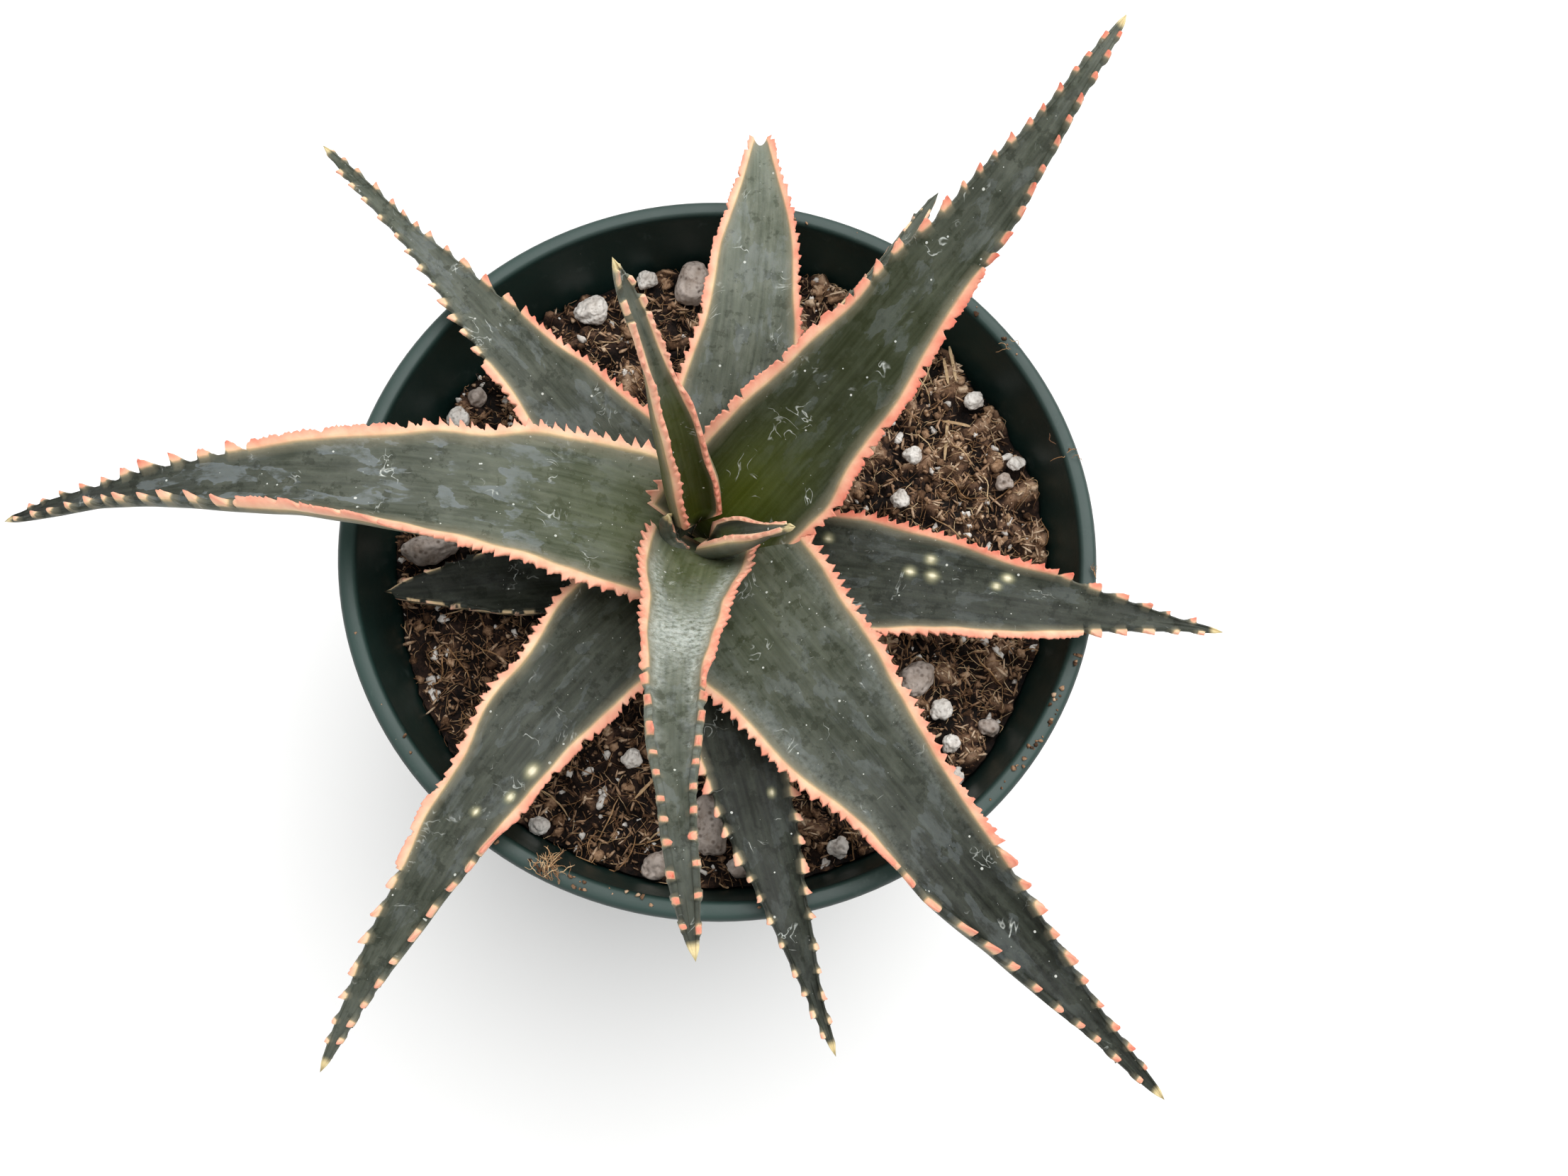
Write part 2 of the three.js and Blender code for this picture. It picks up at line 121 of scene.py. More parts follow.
# Each leaf as it grew, the youngest first. Angles are in degrees, lengths in mm and the places
# along a leaf in shares of its length. Sides go left then right, looking along the leaf.
# heading, slope: the way it grows at its root and at its tip. height: its root's above the soil.
# outline: how full the leaf stays, then how it tapers. strap: how much wider its end stays.
# bank: how far the left side is rolled up. band: the margin's width. saw: for each side, where
# its regular teeth end. band_end: for each side, where the margin breaks up into single teeth.
# fold: for each side, how far it turns up at the root and at the tip. fold_from: for each side,
# where it changes from one to the other. coral: for each side, the margin's colour at the root
# and at the tip, from cream (0) to coral (1), and below 0 it is there only in blots. clasp: how
# far the root's sides reach back round the stem. tone: the skin's paleness at the root and at
# the tip. olive, green, stain, frost, wrinkle: how strong each of these marks is. spots: cream
# spots, each by its place across and along, and its size. lost_tip: what has broken off.
LEAVES = [
    dict(
        heading=(-17, -19), slope=(58, 48), length=22, height=19, width=5.0, outline=(1.5, 1.2),
        bank=-9, band=0.9, saw=(0.9, 0.9), band_end=(0.9, 0.9), fold=((88, 70), (96, 92)),
        fold_from=(0.4, 0.4), coral=((0.06, 0.06), (0.06, 0.06)), olive=0.7, tone=(0.3, 0.3), clasp=2.5,
    ),
    dict(
        heading=(109, 129), slope=(70, 60), length=61, height=17, width=7.6, outline=(1, 0.5),
        bank=15, band=2.1, saw=(0.8, 0.8), band_end=(0.8, 0.8), fold=((108, 96), (116, 96)),
        fold_from=(0.5, 0.5), coral=((0.55, 0.0), (0.65, 0.1)), olive=1.0, stain=0.1, tone=(0.1, 0.5),
        green=0.8,
    ),
    dict(
        heading=(-100, -79), slope=(54, 25), length=99, height=15, width=24, outline=(1, 1.3),
        bank=-4, band=2.5, saw=(0.6, 0.6), band_end=(0.5, 0.46), fold=((42, 100), (42, 105)),
        fold_from=(0.48, 0.48), coral=((0.4, 0.8), (0.25, 0.8)), olive=0.7, stain=0.4, tone=(1.35, 0.05),
        wrinkle=1.0, frost=0.9, clasp=7.0, strap=0.27,
    ),
    dict(
        heading=(40, 55), slope=(40, 16), length=121, height=13, width=32, outline=(1.4, 1.35),
        bank=20, band=2.5, saw=(0.12, 0.16), band_end=(0.44, 0.55), fold=((24, 40), (26, 112)),
        fold_from=(0.58, 0.58), coral=((0.2, 0.95), (0.5, 0.95)), olive=1.0, stain=0.35,
        tone=(-0.25, 0.5), green=0.3, clasp=6.0,
    ),
    dict(
        heading=(172, 189), slope=(34, -27), length=135, height=11, width=36, outline=(1.5, 1.55),
        bank=8, band=2.8, saw=(0.4, 0.42), band_end=(0.6, 0.62), fold=((22, 116), (22, 30)),
        fold_from=(0.38, 0.62), coral=((0.35, 0.25), (0.05, 0.85)), olive=0.55, stain=1.0,
        tone=(0.75, -0.1), clasp=4.0,
    ),
    dict(
        heading=(-58, -47), slope=(28, -8), length=129, height=9, width=39.5, outline=(1.4, 1.35),
        bank=9, band=2.4, saw=(0.62, 0.5), band_end=(0.62, 0.55), fold=((18, 45), (20, 112)),
        fold_from=(0.55, 0.5), coral=((0.35, 0.75), (0.3, 0.65)), olive=0.25, stain=0.4,
        tone=(0.62, -0.35), frost=0.2, clasp=4.0,
    ),
    dict(
        heading=(74, 93), slope=(30, 2), length=89, height=7, width=26, outline=(2.45, 1),
        bank=-2, band=2.1, saw=(0.5, 0.9), band_end=(0.95, 0.95), fold=((18, 24), (18, 24)),
        fold_from=(0.4, 0.4), coral=((0.3, 0.3), (0.6, 0.6)), olive=0.15, stain=0.5, tone=(0.2, 1.1),
        lost_tip=5.5,
    ),
    dict(
        heading=(-132, -113), slope=(24, -13), length=116, height=6, width=29, outline=(1.4, 1.2),
        bank=-15, band=2.3, saw=(0.3, 0.58), band_end=(0.58, 0.68), fold=((16, 105), (18, 30)),
        fold_from=(0.5, 0.5), coral=((0.5, 0.3), (0.3, 0.2)), olive=0.1, stain=0.35, tone=(0.0, 0.35),
        spots=((5.5, 54.8, 1.5), (5.1, 61, 1.1), (1.5, 66.5, 0.9)),
    ),
    dict(
        heading=(-14, -10), slope=(23, 3), length=100, height=4, width=29, outline=(1.9, 1.3),
        bank=3, band=2.1, saw=(0.8, 0.5), band_end=(0.68, 0.7), fold=((18, 40), (14, 24)),
        fold_from=(0.5, 0.5), coral=((0.95, 0.75), (0.6, 0.35)), olive=0.05, stain=0.3, tone=(0.05, 0.1),
        spots=(
            (7.0, 22.5, 1.1), (5.4, 44, 1.2), (2.4, 40.3, 1.2), (2.1, 44.8, 1.3),
            (3.8, 59.4, 1.2), (1.9, 57.5, 1.0),
        ),
    ),
    dict(
        heading=(136, 134), slope=(26, -1), length=111, height=3, width=31, outline=(1.4, 1.8),
        bank=-3, band=2.2, saw=(0.2, 0.5), band_end=(0.45, 0.5), fold=((16, 30), (18, 30)),
        fold_from=(0.5, 0.5), coral=((0.2, 0.15), (0.6, 0.5)), olive=0.05, stain=0.5, tone=(0.25, 0.5),
    ),
    dict(
        heading=(-81, -70), slope=(25, 0), length=98, height=2, width=29, outline=(1.4, 1.25),
        bank=0, band=2.0, saw=(0.5, 0.5), band_end=(0.5, 0.45), fold=((16, 35), (16, 35)),
        fold_from=(0.5, 0.5), coral=((0.5, 0.2), (0.4, 0.2)), olive=0.05, stain=0.2, tone=(-0.35, 0.05),
        spots=((3.2, 52, 0.9),),
    ),
    dict(
        heading=(58, 56), slope=(22, 8), length=88, height=1.5, width=17, outline=(1.6, 1.3),
        bank=0, band=1.1, saw=(0.0, 0.0), band_end=(0.0, 0.0), fold=((16, 40), (16, 40)),
        fold_from=(0.4, 0.4), coral=((-0.6, -0.6), (-0.6, -0.6)), olive=0.1, stain=0.3, tone=(0.4, 0.5),
    ),
    dict(
        heading=(-168, -174), slope=(12, -1), length=60, height=1, width=19, outline=(2.1, 0.75),
        bank=0, band=1.2, saw=(0.0, 0.0), band_end=(0.0, 0.0), fold=((16, 35), (16, 35)),
        fold_from=(0.4, 0.4), coral=((-0.9, -0.9), (-0.9, -0.9)), olive=0.2, stain=0.1, tone=(-0.1, 0.0),
    ),
]

# The newest leaves, still rolled up in the heart of the plant.
HEART = [
    dict(
        heading=(165, 170), slope=(74, 80), length=11, height=11.5, width=5.5, outline=(1.4, 0.8),
        bank=0, band=1.1, saw=(0.9, 0.9), band_end=(0.9, 0.9), fold=((110, 90), (110, 90)),
        fold_from=(0.4, 0.4), coral=((0.0, 0.0), (0.0, 0.0)), olive=0.3, tone=(0.3, 0.3),
    ),
    dict(
        heading=(-30, -40), slope=(78, 84), length=8, height=11, width=4, outline=(1.4, 0.8),
        bank=0, band=0.9, saw=(0.9, 0.9), band_end=(0.9, 0.9), fold=((110, 90), (110, 90)),
        fold_from=(0.4, 0.4), coral=((0.0, 0.0), (0.0, 0.0)), olive=0.3, tone=(0.3, 0.3),
    ),
]


# ---------------------------------------------------------------- helpers
def linear(code):
    """An sRGB hex colour as opaque linear RGBA."""
    values = [int(code[i:i + 2], 16) / 255 for i in (1, 3, 5)]
    return tuple(v / 12.92 if v <= 0.04045 else ((v + 0.055) / 1.055) ** 2.4 for v in values) + (1.0,)


def clear_selection():
    """Leaves edit mode and deselects everything."""
    if bpy.context.object and bpy.context.object.mode != "OBJECT":
        bpy.ops.object.mode_set(mode="OBJECT")
    bpy.ops.object.select_all(action="DESELECT")


def hold(piece):
    """Leaves this piece alone selected and active."""
    clear_selection()
    piece.select_set(True)
    bpy.context.view_layer.objects.active = piece


def settle(piece):
    """Moves a piece's place into its mesh."""
    piece.data.transform(piece.matrix_world)
    piece.matrix_world = Matrix.Identity(4)


def points_of(mesh):
    """A mesh's points as rows of x, y and z."""
    co = np.empty(len(mesh.vertices) * 3)
    mesh.vertices.foreach_get("co", co)
    return co.reshape(-1, 3)


def place_points(mesh, points):
    """Moves a mesh's points to these places."""
    mesh.vertices.foreach_set("co", np.ascontiguousarray(points, dtype=np.float32).ravel())
    mesh.update()


def note_points(mesh, name, values):
    """Keeps a number or a vector for each point of a mesh, for its material to read."""
    values = np.asarray(values, dtype=np.float32)
    kind = "FLOAT" if values.ndim == 1 else "FLOAT_VECTOR"
    kept = mesh.attributes.new(name, kind, "POINT")
    kept.data.foreach_set("value" if values.ndim == 1 else "vector", values.ravel())


def weld(piece, distance=0.0008 * MM, turn_out=True):
    """Merges doubled points and turns every face outwards."""
    hold(piece)
    bpy.ops.object.mode_set(mode="EDIT")
    bpy.ops.mesh.select_all(action="SELECT")
    bpy.ops.mesh.remove_doubles(threshold=distance)
    if turn_out:
        bpy.ops.mesh.select_all(action="SELECT")
        bpy.ops.mesh.normals_make_consistent(inside=False)
    bpy.ops.object.mode_set(mode="OBJECT")


def apply_all(piece):
    """Applies a piece's modifiers in their order."""
    hold(piece)
    for modifier in list(piece.modifiers):
        bpy.ops.object.modifier_apply(modifier=modifier.name)


def finish_piece(piece, name, material, slot, *nodes):
    """Names a piece, gives it its material and ties it to the frame."""
    piece.name = name
    piece.data.name = name
    piece.data.materials.clear()
    piece.data.materials.append(material)
    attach(piece, "root")
    if nodes:
        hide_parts(*nodes)
    return piece


def sheet_of_points(columns, rows):
    """A flat grid, and for each of its points the column and the row that it stands in."""
    clear_selection()
    bpy.ops.mesh.primitive_grid_add(x_subdivisions=columns, y_subdivisions=rows, size=1)
    piece = bpy.context.object
    flat = points_of(piece.data)
    column = np.rint((flat[:, 0] + 0.5) * columns).astype(int)
    row = np.rint((flat[:, 1] + 0.5) * rows).astype(int)
    return piece, column, row


def smooth_step(low, high, value):
    """0 below low and 1 above high, or the other way round where low is the larger."""
    share = np.clip((value - low) / (high - low), 0, 1)
    return share * share * (3 - 2 * share)


def ripple(rng, length, across=None, count=5):
    """A function that waves gently, about 1 high, over that length. It is different each time."""
    waves = []
    for _ in range(count):
        along_rate = rng.uniform(0.5, 1.6) * 2 * math.pi / length
        across_rate = rng.uniform(-1, 1) * 2 * math.pi / (across or length)
        waves.append((along_rate, across_rate, rng.uniform(0, 2 * math.pi)))

    def height(along, across=0.0):
        return sum(np.sin(along * u + across * v + phase) for u, v, phase in waves) / count ** 0.5

    return height


# ---------------------------------------------------------------- materials
ATTRIBUTE = "ShaderNodeAttribute"
BUMP = "ShaderNodeBump"
COORDINATE = "ShaderNodeTexCoord"
MAPPING = "ShaderNodeMapping"
MATH = "ShaderNodeMath"
MIX = "ShaderNodeMix"
NOISE = "ShaderNodeTexNoise"
RAMP = "ShaderNodeValToRGB"
SPLIT = "ShaderNodeSeparateXYZ"
SPLIT_COLOUR = "ShaderNodeSeparateColor"
VORONOI = "ShaderNodeTexVoronoi"
# The Mix node's sockets for colours: its share, its two colours and its result.
SHARE, FIRST, SECOND, RESULT = 0, 6, 7, 2


def new_material(name):
    material = bpy.data.materials.new(name)
    material.use_nodes = True
    return material, material.node_tree.nodes["Principled BSDF"]


def feed(material, node, inputs):
    """Sets a node's inputs: a socket is linked, and anything else is the input's value."""
    for key, value in inputs.items():
        if isinstance(value, bpy.types.NodeSocket):
            material.node_tree.links.new(value, node.inputs[key])
        else:
            node.inputs[key].default_value = value


def add(material, kind, inputs, output=0, stops=(), **settings):
    """Adds a node with its settings and inputs, and gives back one output, or all for None.

    stops are those of a colour ramp: each is a place, and a grey level or a linear colour.
    """
    node = material.node_tree.nodes.new(kind)
    for setting, value in settings.items():
        setattr(node, setting, value)
    feed(material, node, inputs)
    if stops:
        marks = node.color_ramp.elements
        while len(marks) < len(stops):
            marks.new(0.5)
        for mark, (place, level) in zip(marks, stops):
            mark.position = place
            mark.color = level if isinstance(level, tuple) else (level, level, level, 1)
    return node.outputs if output is None else node.outputs[output]


def leaf_skin_material():
    """Aloe skin: a smooth waxy cuticle, dark grey-green under a dull bloom, with coral margins."""
    material, skin = new_material("waxy_aloe_skin")
    growth = add(material, ATTRIBUTE, {}, "Vector", attribute_name="leaf_growth")
    margin, dried, coral = add(material, SPLIT, {0: growth}, None)
    finish = add(material, ATTRIBUTE, {}, "Vector", attribute_name="leaf_finish")
    olive, stain, frost = add(material, SPLIT, {0: finish}, None)
    place = add(material, ATTRIBUTE, {}, "Vector", attribute_name="leaf_mm")
    tone = add(material, ATTRIBUTE, {}, "Fac", attribute_name="leaf_tone")
    tone = add(material, MATH, {0: tone, 1: 0.0}, operation="ADD", use_clamp=True)
    spot = add(material, ATTRIBUTE, {}, "Fac", attribute_name="leaf_spot")

    # Soft mottling about 9 mm across, drawn out along the leaf.
    drawn_out = add(material, MAPPING, {0: place, "Scale": (1, 0.45, 1)})
    mottle = add(material, NOISE, {"Vector": drawn_out, "Scale": 1 / 9, "Detail": 3})
    mottle_share = add(material, RAMP, {0: mottle}, stops=((0.35, 0), (0.62, 1)))

    # Fine fibres under the skin, 0.8 mm apart, run the length of the leaf.
    fibre_place = add(material, MAPPING, {0: place, "Scale": (1, 0.03, 1)})
    fibres = add(material, NOISE, {"Vector": fibre_place, "Scale": 1 / 0.8, "Detail": 2})
    fibre_lines = add(material, RAMP, {0: fibres}, stops=((0.35, 0), (0.7, 1)))
    fibre_share = add(material, MATH, {0: fibre_lines, 1: 0.34}, operation="MULTIPLY")

    # The bloom of wax: grey clouds 3 mm across, uneven down to a few tenths of a millimetre.
    bloom_cloud = {"Vector": drawn_out, "Scale": 1 / 3.2, "Detail": 7, "Roughness": 0.66}
    bloom = add(material, NOISE, bloom_cloud)
    bloom_patches = add(material, RAMP, {0: bloom}, stops=((0.45, 0), (0.68, 1)))
    bloom_share = add(material, MATH, {0: bloom_patches, 1: 0.4}, operation="MULTIPLY")

    # Where the wax is rubbed off the skin is darker and greener, in patches with crisp edges.
    rubbed_place = add(material, MAPPING, {0: place, "Location": (31, 17, 5)})
    rubbed_cloud = {"Vector": rubbed_place, "Scale": 1 / 3, "Detail": 8, "Roughness": 0.66}
    rubbed = add(material, NOISE, rubbed_cloud)
    rubbed_patches = add(material, RAMP, {0: rubbed}, stops=((0.55, 0), (0.6, 1)))
    rubbed_share = add(material, MATH, {0: rubbed_patches, 1: 0.5}, operation="MULTIPLY")

    # The leaf stays olive where it is young, at its root.
    olive_break = add(material, RAMP, {0: mottle}, stops=((0.25, 0.7), (0.7, 1)))
    olive_share = add(material, MATH, {0: olive, 1: olive_break}, operation="MULTIPLY")

    # Dried water left bluish grey films with sharp edges.
    film_cloud = {"Vector": drawn_out, "Scale": 1 / 4.5, "Detail": 4, "Distortion": 0.3}
    film = add(material, NOISE, film_cloud)
    film_edge = add(material, RAMP, {0: film}, stops=((0.53, 0), (0.54, 1), (0.66, 0.7)))
    film_break = add(material, RAMP, {0: bloom}, stops=((0.44, 0.1), (0.54, 1)))
    film_share = add(material, MATH, {0: film_edge, 1: film_break}, operation="MULTIPLY")
    film_share = add(material, MATH, {0: film_share, 1: stain}, operation="MULTIPLY")
    film_share = add(material, MATH, {0: film_share, 1: 0.55}, operation="MULTIPLY")

    # Frosting: a thick grey powder beside some margins and where a leaf bends.
    powder = add(material, NOISE, {"Vector": place, "Scale": 1 / 1.1, "Detail": 6, "Roughness": 0.7})
    powder_clumps = add(material, RAMP, {0: powder}, stops=((0.36, 0), (0.6, 1)))
    powder_share = add(material, MATH, {0: powder_clumps, 1: frost}, operation="MULTIPLY")

    # Scratches: thin curved lines where a slow noise crosses its middle value, few and short.
    curve = add(material, NOISE, {"Vector": place, "Scale": 1 / 5, "Detail": 2, "Distortion": 1.2})
    off_middle = add(material, MATH, {0: curve, 1: 0.5}, operation="SUBTRACT")
    off_middle = add(material, MATH, {0: off_middle}, operation="ABSOLUTE")
    line = add(material, RAMP, {0: off_middle}, stops=((0.0, 1), (0.008, 0.6), (0.02, 0)))
    where = add(material, NOISE, {"Vector": place, "Scale": 1 / 8, "Detail": 3})
    some = add(material, RAMP, {0: where}, stops=((0.585, 0), (0.66, 1)))
    fuzzy = add(material, RAMP, {0: powder}, stops=((0.35, 0.2), (0.6, 1)))
    scratch_share = add(material, MATH, {0: line, 1: some}, operation="MULTIPLY")
    scratch_share = add(material, MATH, {0: scratch_share, 1: fuzzy}, operation="MULTIPLY")

    # Each of these lies over those before it, and goes from one colour to the other as a guide
    # rises. The guide is the leaf's own tone, but for the olive, which shows the fibres.
    dark, pale = linear("#14170f"), linear("#4c5343")
    skin_colour = add(material, MIX, {SHARE: tone, FIRST: dark, SECOND: pale}, RESULT, data_type="RGBA")
    for share, guide, low, high in (
        (mottle_share, tone, "#292b27", "#6f7569"),
        (fibre_share, tone, "#454b40", "#8f9583"),
        (bloom_share, tone, "#52574d", "#989b8e"),
        (rubbed_share, tone, "#11140d", "#363c2b"),
        (olive_share, fibre_share, "#3c4507", "#59622a"),
        (film_share, tone, "#6f777a", "#848c90"),
    ):
        colours = {SHARE: guide, FIRST: linear(low), SECOND: linear(high)}
        layer = add(material, MIX, colours, RESULT, data_type="RGBA")
        colours = {SHARE: share, FIRST: skin_colour, SECOND: layer}
        skin_colour = add(material, MIX, colours, RESULT, data_type="RGBA")
    coats = [(powder_share, linear("#b4bab2")), (scratch_share, linear("#cdd2cb"))]

    # Specks of dust and lime: up to 0.6 mm in cells 2.4 mm wide, and finer ones.
    for cell_mm, largest, strength in ((2.4, 0.12, 0.7), (1.1, 0.1, 0.4)):
        cells = add(material, VORONOI, {"Vector": place, "Scale": 1 / cell_mm}, None)
        chance = add(material, SPLIT_COLOUR, {0: cells["Color"]})
        size = add(material, RAMP, {0: chance}, stops=((0.5, 0), (1.0, largest)))
        speck = add(material, MATH, {0: cells["Distance"], 1: size}, operation="LESS_THAN")
        speck_share = add(material, MATH, {0: speck, 1: strength}, operation="MULTIPLY")
        coats.append((speck_share, linear("#dfe2da")))

    # Cream spots are part of the skin, with a pale middle.
    spot_stops = ((0.0, linear("#6f7456")), (0.6, linear("#b3ae8c")), (1.0, linear("#f1e8cc")))
    spot_colour = add(material, RAMP, {0: spot}, stops=spot_stops)
    spot_share = add(material, RAMP, {0: spot}, stops=((0.05, 0), (0.8, 1)))
    coats.append((spot_share, spot_colour))

    # The margin: an olive-tan shadow, then cream, or peach to coral, towards its edge.
    cream_stops = (
        (0.0, linear("#b9a67c")), (0.18, linear("#efd0a4")), (0.4, linear("#f7cfae")),
        (0.75, linear("#f4bda0")), (1.0, linear("#f0b096")),
    )
    coral_stops = (
        (0.0, linear("#a88a6a")), (0.2, linear("#d89a7d")), (0.45, linear("#e38a70")),
        (0.8, linear("#dc7c66")), (1.0, linear("#d26a57")),
    )
    cream_edge = add(material, RAMP, {0: margin}, stops=cream_stops)
    coral_edge = add(material, RAMP, {0: margin}, stops=coral_stops)
    edge_cloud = add(material, NOISE, {"Vector": place, "Scale": 1 / 3.5, "Detail": 3})
    coral_shift = add(material, MATH, {0: edge_cloud, 1: 1.4, 2: -0.65}, operation="MULTIPLY_ADD")
    coral_share = add(material, MATH, {0: coral, 1: coral_shift}, operation="ADD", use_clamp=True)
    colours = {SHARE: coral_share, FIRST: cream_edge, SECOND: coral_edge}
    margin_colour = add(material, MIX, colours, RESULT, data_type="RGBA")
    wander = add(material, MATH, {0: bloom, 1: 0.24, 2: 0.38}, operation="MULTIPLY_ADD")
    shade = add(material, MATH, {0: margin, 1: 0.5, 2: wander}, operation="MULTIPLY_ADD")
    shadow = add(material, RAMP, {0: shade}, stops=((0.02, 0), (0.3, 0.3), (0.46, 0.7)))
    fade = add(material, RAMP, {0: shade}, stops=((0.44, 0), (0.51, 0.6), (0.6, 1)))
    # On the oldest leaves the margin has dried up, all but some tan blots.
    blots = add(material, RAMP, {0: edge_cloud}, stops=((0.5, 0), (0.56, 1)))
    whole = add(material, RAMP, {0: coral}, stops=((0.0, 0), (0.05, 1)))
    covered = add(material, MATH, {0: blots, 1: whole}, operation="MAXIMUM")
    fade = add(material, MATH, {0: fade, 1: covered}, operation="MULTIPLY")
    shadow = add(material, MATH, {0: shadow, 1: covered}, operation="MULTIPLY")
    coats += [(shadow, linear("#8d8670")), (fade, margin_colour)]

    # The last millimetres of a leaf are dry and straw coloured.
    coats.append((dried, linear("#d6c596")))
    for share, coat in coats:
        colours = {SHARE: share, FIRST: skin_colour, SECOND: coat}
        skin_colour = add(material, MIX, colours, RESULT, data_type="RGBA")

    # Satin wax: rougher where the bloom and the powder lie.
    rough = add(material, MATH, {0: bloom, 1: 0.3, 2: 0.3}, operation="MULTIPLY_ADD")
    rough = add(material, MATH, {0: powder_share, 1: 0.2, 2: rough}, operation="MULTIPLY_ADD")

    # Skin grain 0.45 mm wide and the fibres stand up a little.
    grain = add(material, NOISE, {"Vector": place, "Scale": 1 / 0.45, "Detail": 3})
    relief = add(material, MATH, {0: fibres, 1: 0.6, 2: grain}, operation="MULTIPLY_ADD")
    bump = add(material, BUMP, {"Height": relief, "Strength": 0.35, "Distance": 0.12 * MM})
    feed(material, skin, {
        "Base Color": skin_colour, "Roughness": rough, "Normal": bump, "IOR": 1.42,
        "Specular IOR Level": 0.2, "Subsurface Weight": 0.12,
        "Subsurface Radius": (1.0, 0.55, 0.3), "Subsurface Scale": 1.2 * MM,
    })
    return material


def pot_plastic_material():
    """Injection-moulded polypropylene: dark green, satin, with a fine moulded grain and scuffs."""
    material, plastic = new_material("moulded_green_polypropylene")
    spot = add(material, COORDINATE, {}, "Object")
    cloud = add(material, NOISE, {"Vector": spot, "Scale": 1 / (25 * MM), "Detail": 3})
    cloud_share = add(material, RAMP, {0: cloud}, stops=((0.3, 0), (0.7, 1)))
    # Painted reflection of the sky: the faces that look up, such as the rim, are painted a lighter
    # grey-green.
    normal = add(material, "ShaderNodeNewGeometry", {}, "Normal")
    upward = add(material, SPLIT, {0: normal}, "Z")
    sky_sheen_on_top = add(material, RAMP, {0: upward}, stops=((0.35, 0), (0.95, 0.3)))
    # Grains of soil dust up to 0.5 mm across cling to the plastic, one in a cell 4 mm wide.
    dust_cells = add(material, VORONOI, {"Vector": spot, "Scale": 1 / (4 * MM)}, None)
    chance = add(material, SPLIT_COLOUR, {0: dust_cells["Color"]})
    grain_size = add(material, RAMP, {0: chance}, stops=((0.7, 0), (1.0, 0.06)))
    dust = add(material, MATH, {0: dust_cells["Distance"], 1: grain_size}, operation="LESS_THAN")
    dust_share = add(material, MATH, {0: dust, 1: 0.55}, operation="MULTIPLY")
    scuff_cloud = {"Vector": spot, "Scale": 1 / (6 * MM), "Detail": 8, "Roughness": 0.7}
    scuffs = add(material, NOISE, scuff_cloud)
    scuff_share = add(material, RAMP, {0: scuffs}, stops=((0.6, 0), (0.8, 0.25)))
    colour = linear("#0f211e")
    for share, code in (
        (cloud_share, "#162d29"), (sky_sheen_on_top, "#4b635c"), (dust_share, "#8a8577"), (scuff_share, "#74827c"),
    ):
        colours = {SHARE: share, FIRST: colour, SECOND: linear(code)}
        colour = add(material, MIX, colours, RESULT, data_type="RGBA")
    rough = add(material, MATH, {0: scuffs, 1: 0.25, 2: 0.3}, operation="MULTIPLY_ADD")
    # The mould's spark-eroded grain, about 0.4 mm.
    grain = add(material, NOISE, {"Vector": spot, "Scale": 1 / (0.4 * MM), "Detail": 2})
    bump = add(material, BUMP, {"Height": grain, "Strength": 0.2, "Distance": 0.08 * MM})
    feed(material, plastic, {
        "Base Color": colour, "Roughness": rough, "Normal": bump, "IOR": 1.49,
        "Specular IOR Level": 0.4,
    })
    return material


def peat_material(name, low, middle, high, palest):
    """Damp peat and coir: matt dark brown, with lighter dry crumbs and a rough crumbly surface."""
    material, peat = new_material(name)
    spot = add(material, COORDINATE, {}, "Object")
    # Each point's tone carries painted shade in the soil's gaps and painted light on its clods, its
    # crumbs' tops and its right side.
    tone = add(material, ATTRIBUTE, {}, "Fac", attribute_name="crumb_tone_and_light")
    # Dry and damp patches about 8 mm wide, and single grains of 0.8 mm.
    patches = add(material, NOISE, {"Vector": spot, "Scale": 1 / (8 * MM), "Detail": 4})
    grain_cloud = {"Vector": spot, "Scale": 1 / (0.8 * MM), "Detail": 5, "Roughness": 0.7}
    grains = add(material, NOISE, grain_cloud)
    mixed = add(material, MATH, {0: patches, 1: 0.35}, operation="MULTIPLY")
    mixed = add(material, MATH, {0: grains, 1: 0.4, 2: mixed}, operation="MULTIPLY_ADD")
    mixed = add(material, MATH, {0: tone, 1: 0.4, 2: mixed}, operation="MULTIPLY_ADD")
    colour = add(
        material, RAMP, {0: mixed},
        stops=((0.34, linear(low)), (0.47, linear(middle)), (0.61, linear(high)), (0.76, linear(palest))),
    )
    bump = add(material, BUMP, {"Height": grains, "Strength": 0.9, "Distance": 0.5 * MM})
    feed(material, peat, {
        "Base Color": colour, "Normal": bump, "Roughness": 0.85, "Specular IOR Level": 0.3,
    })
    return material


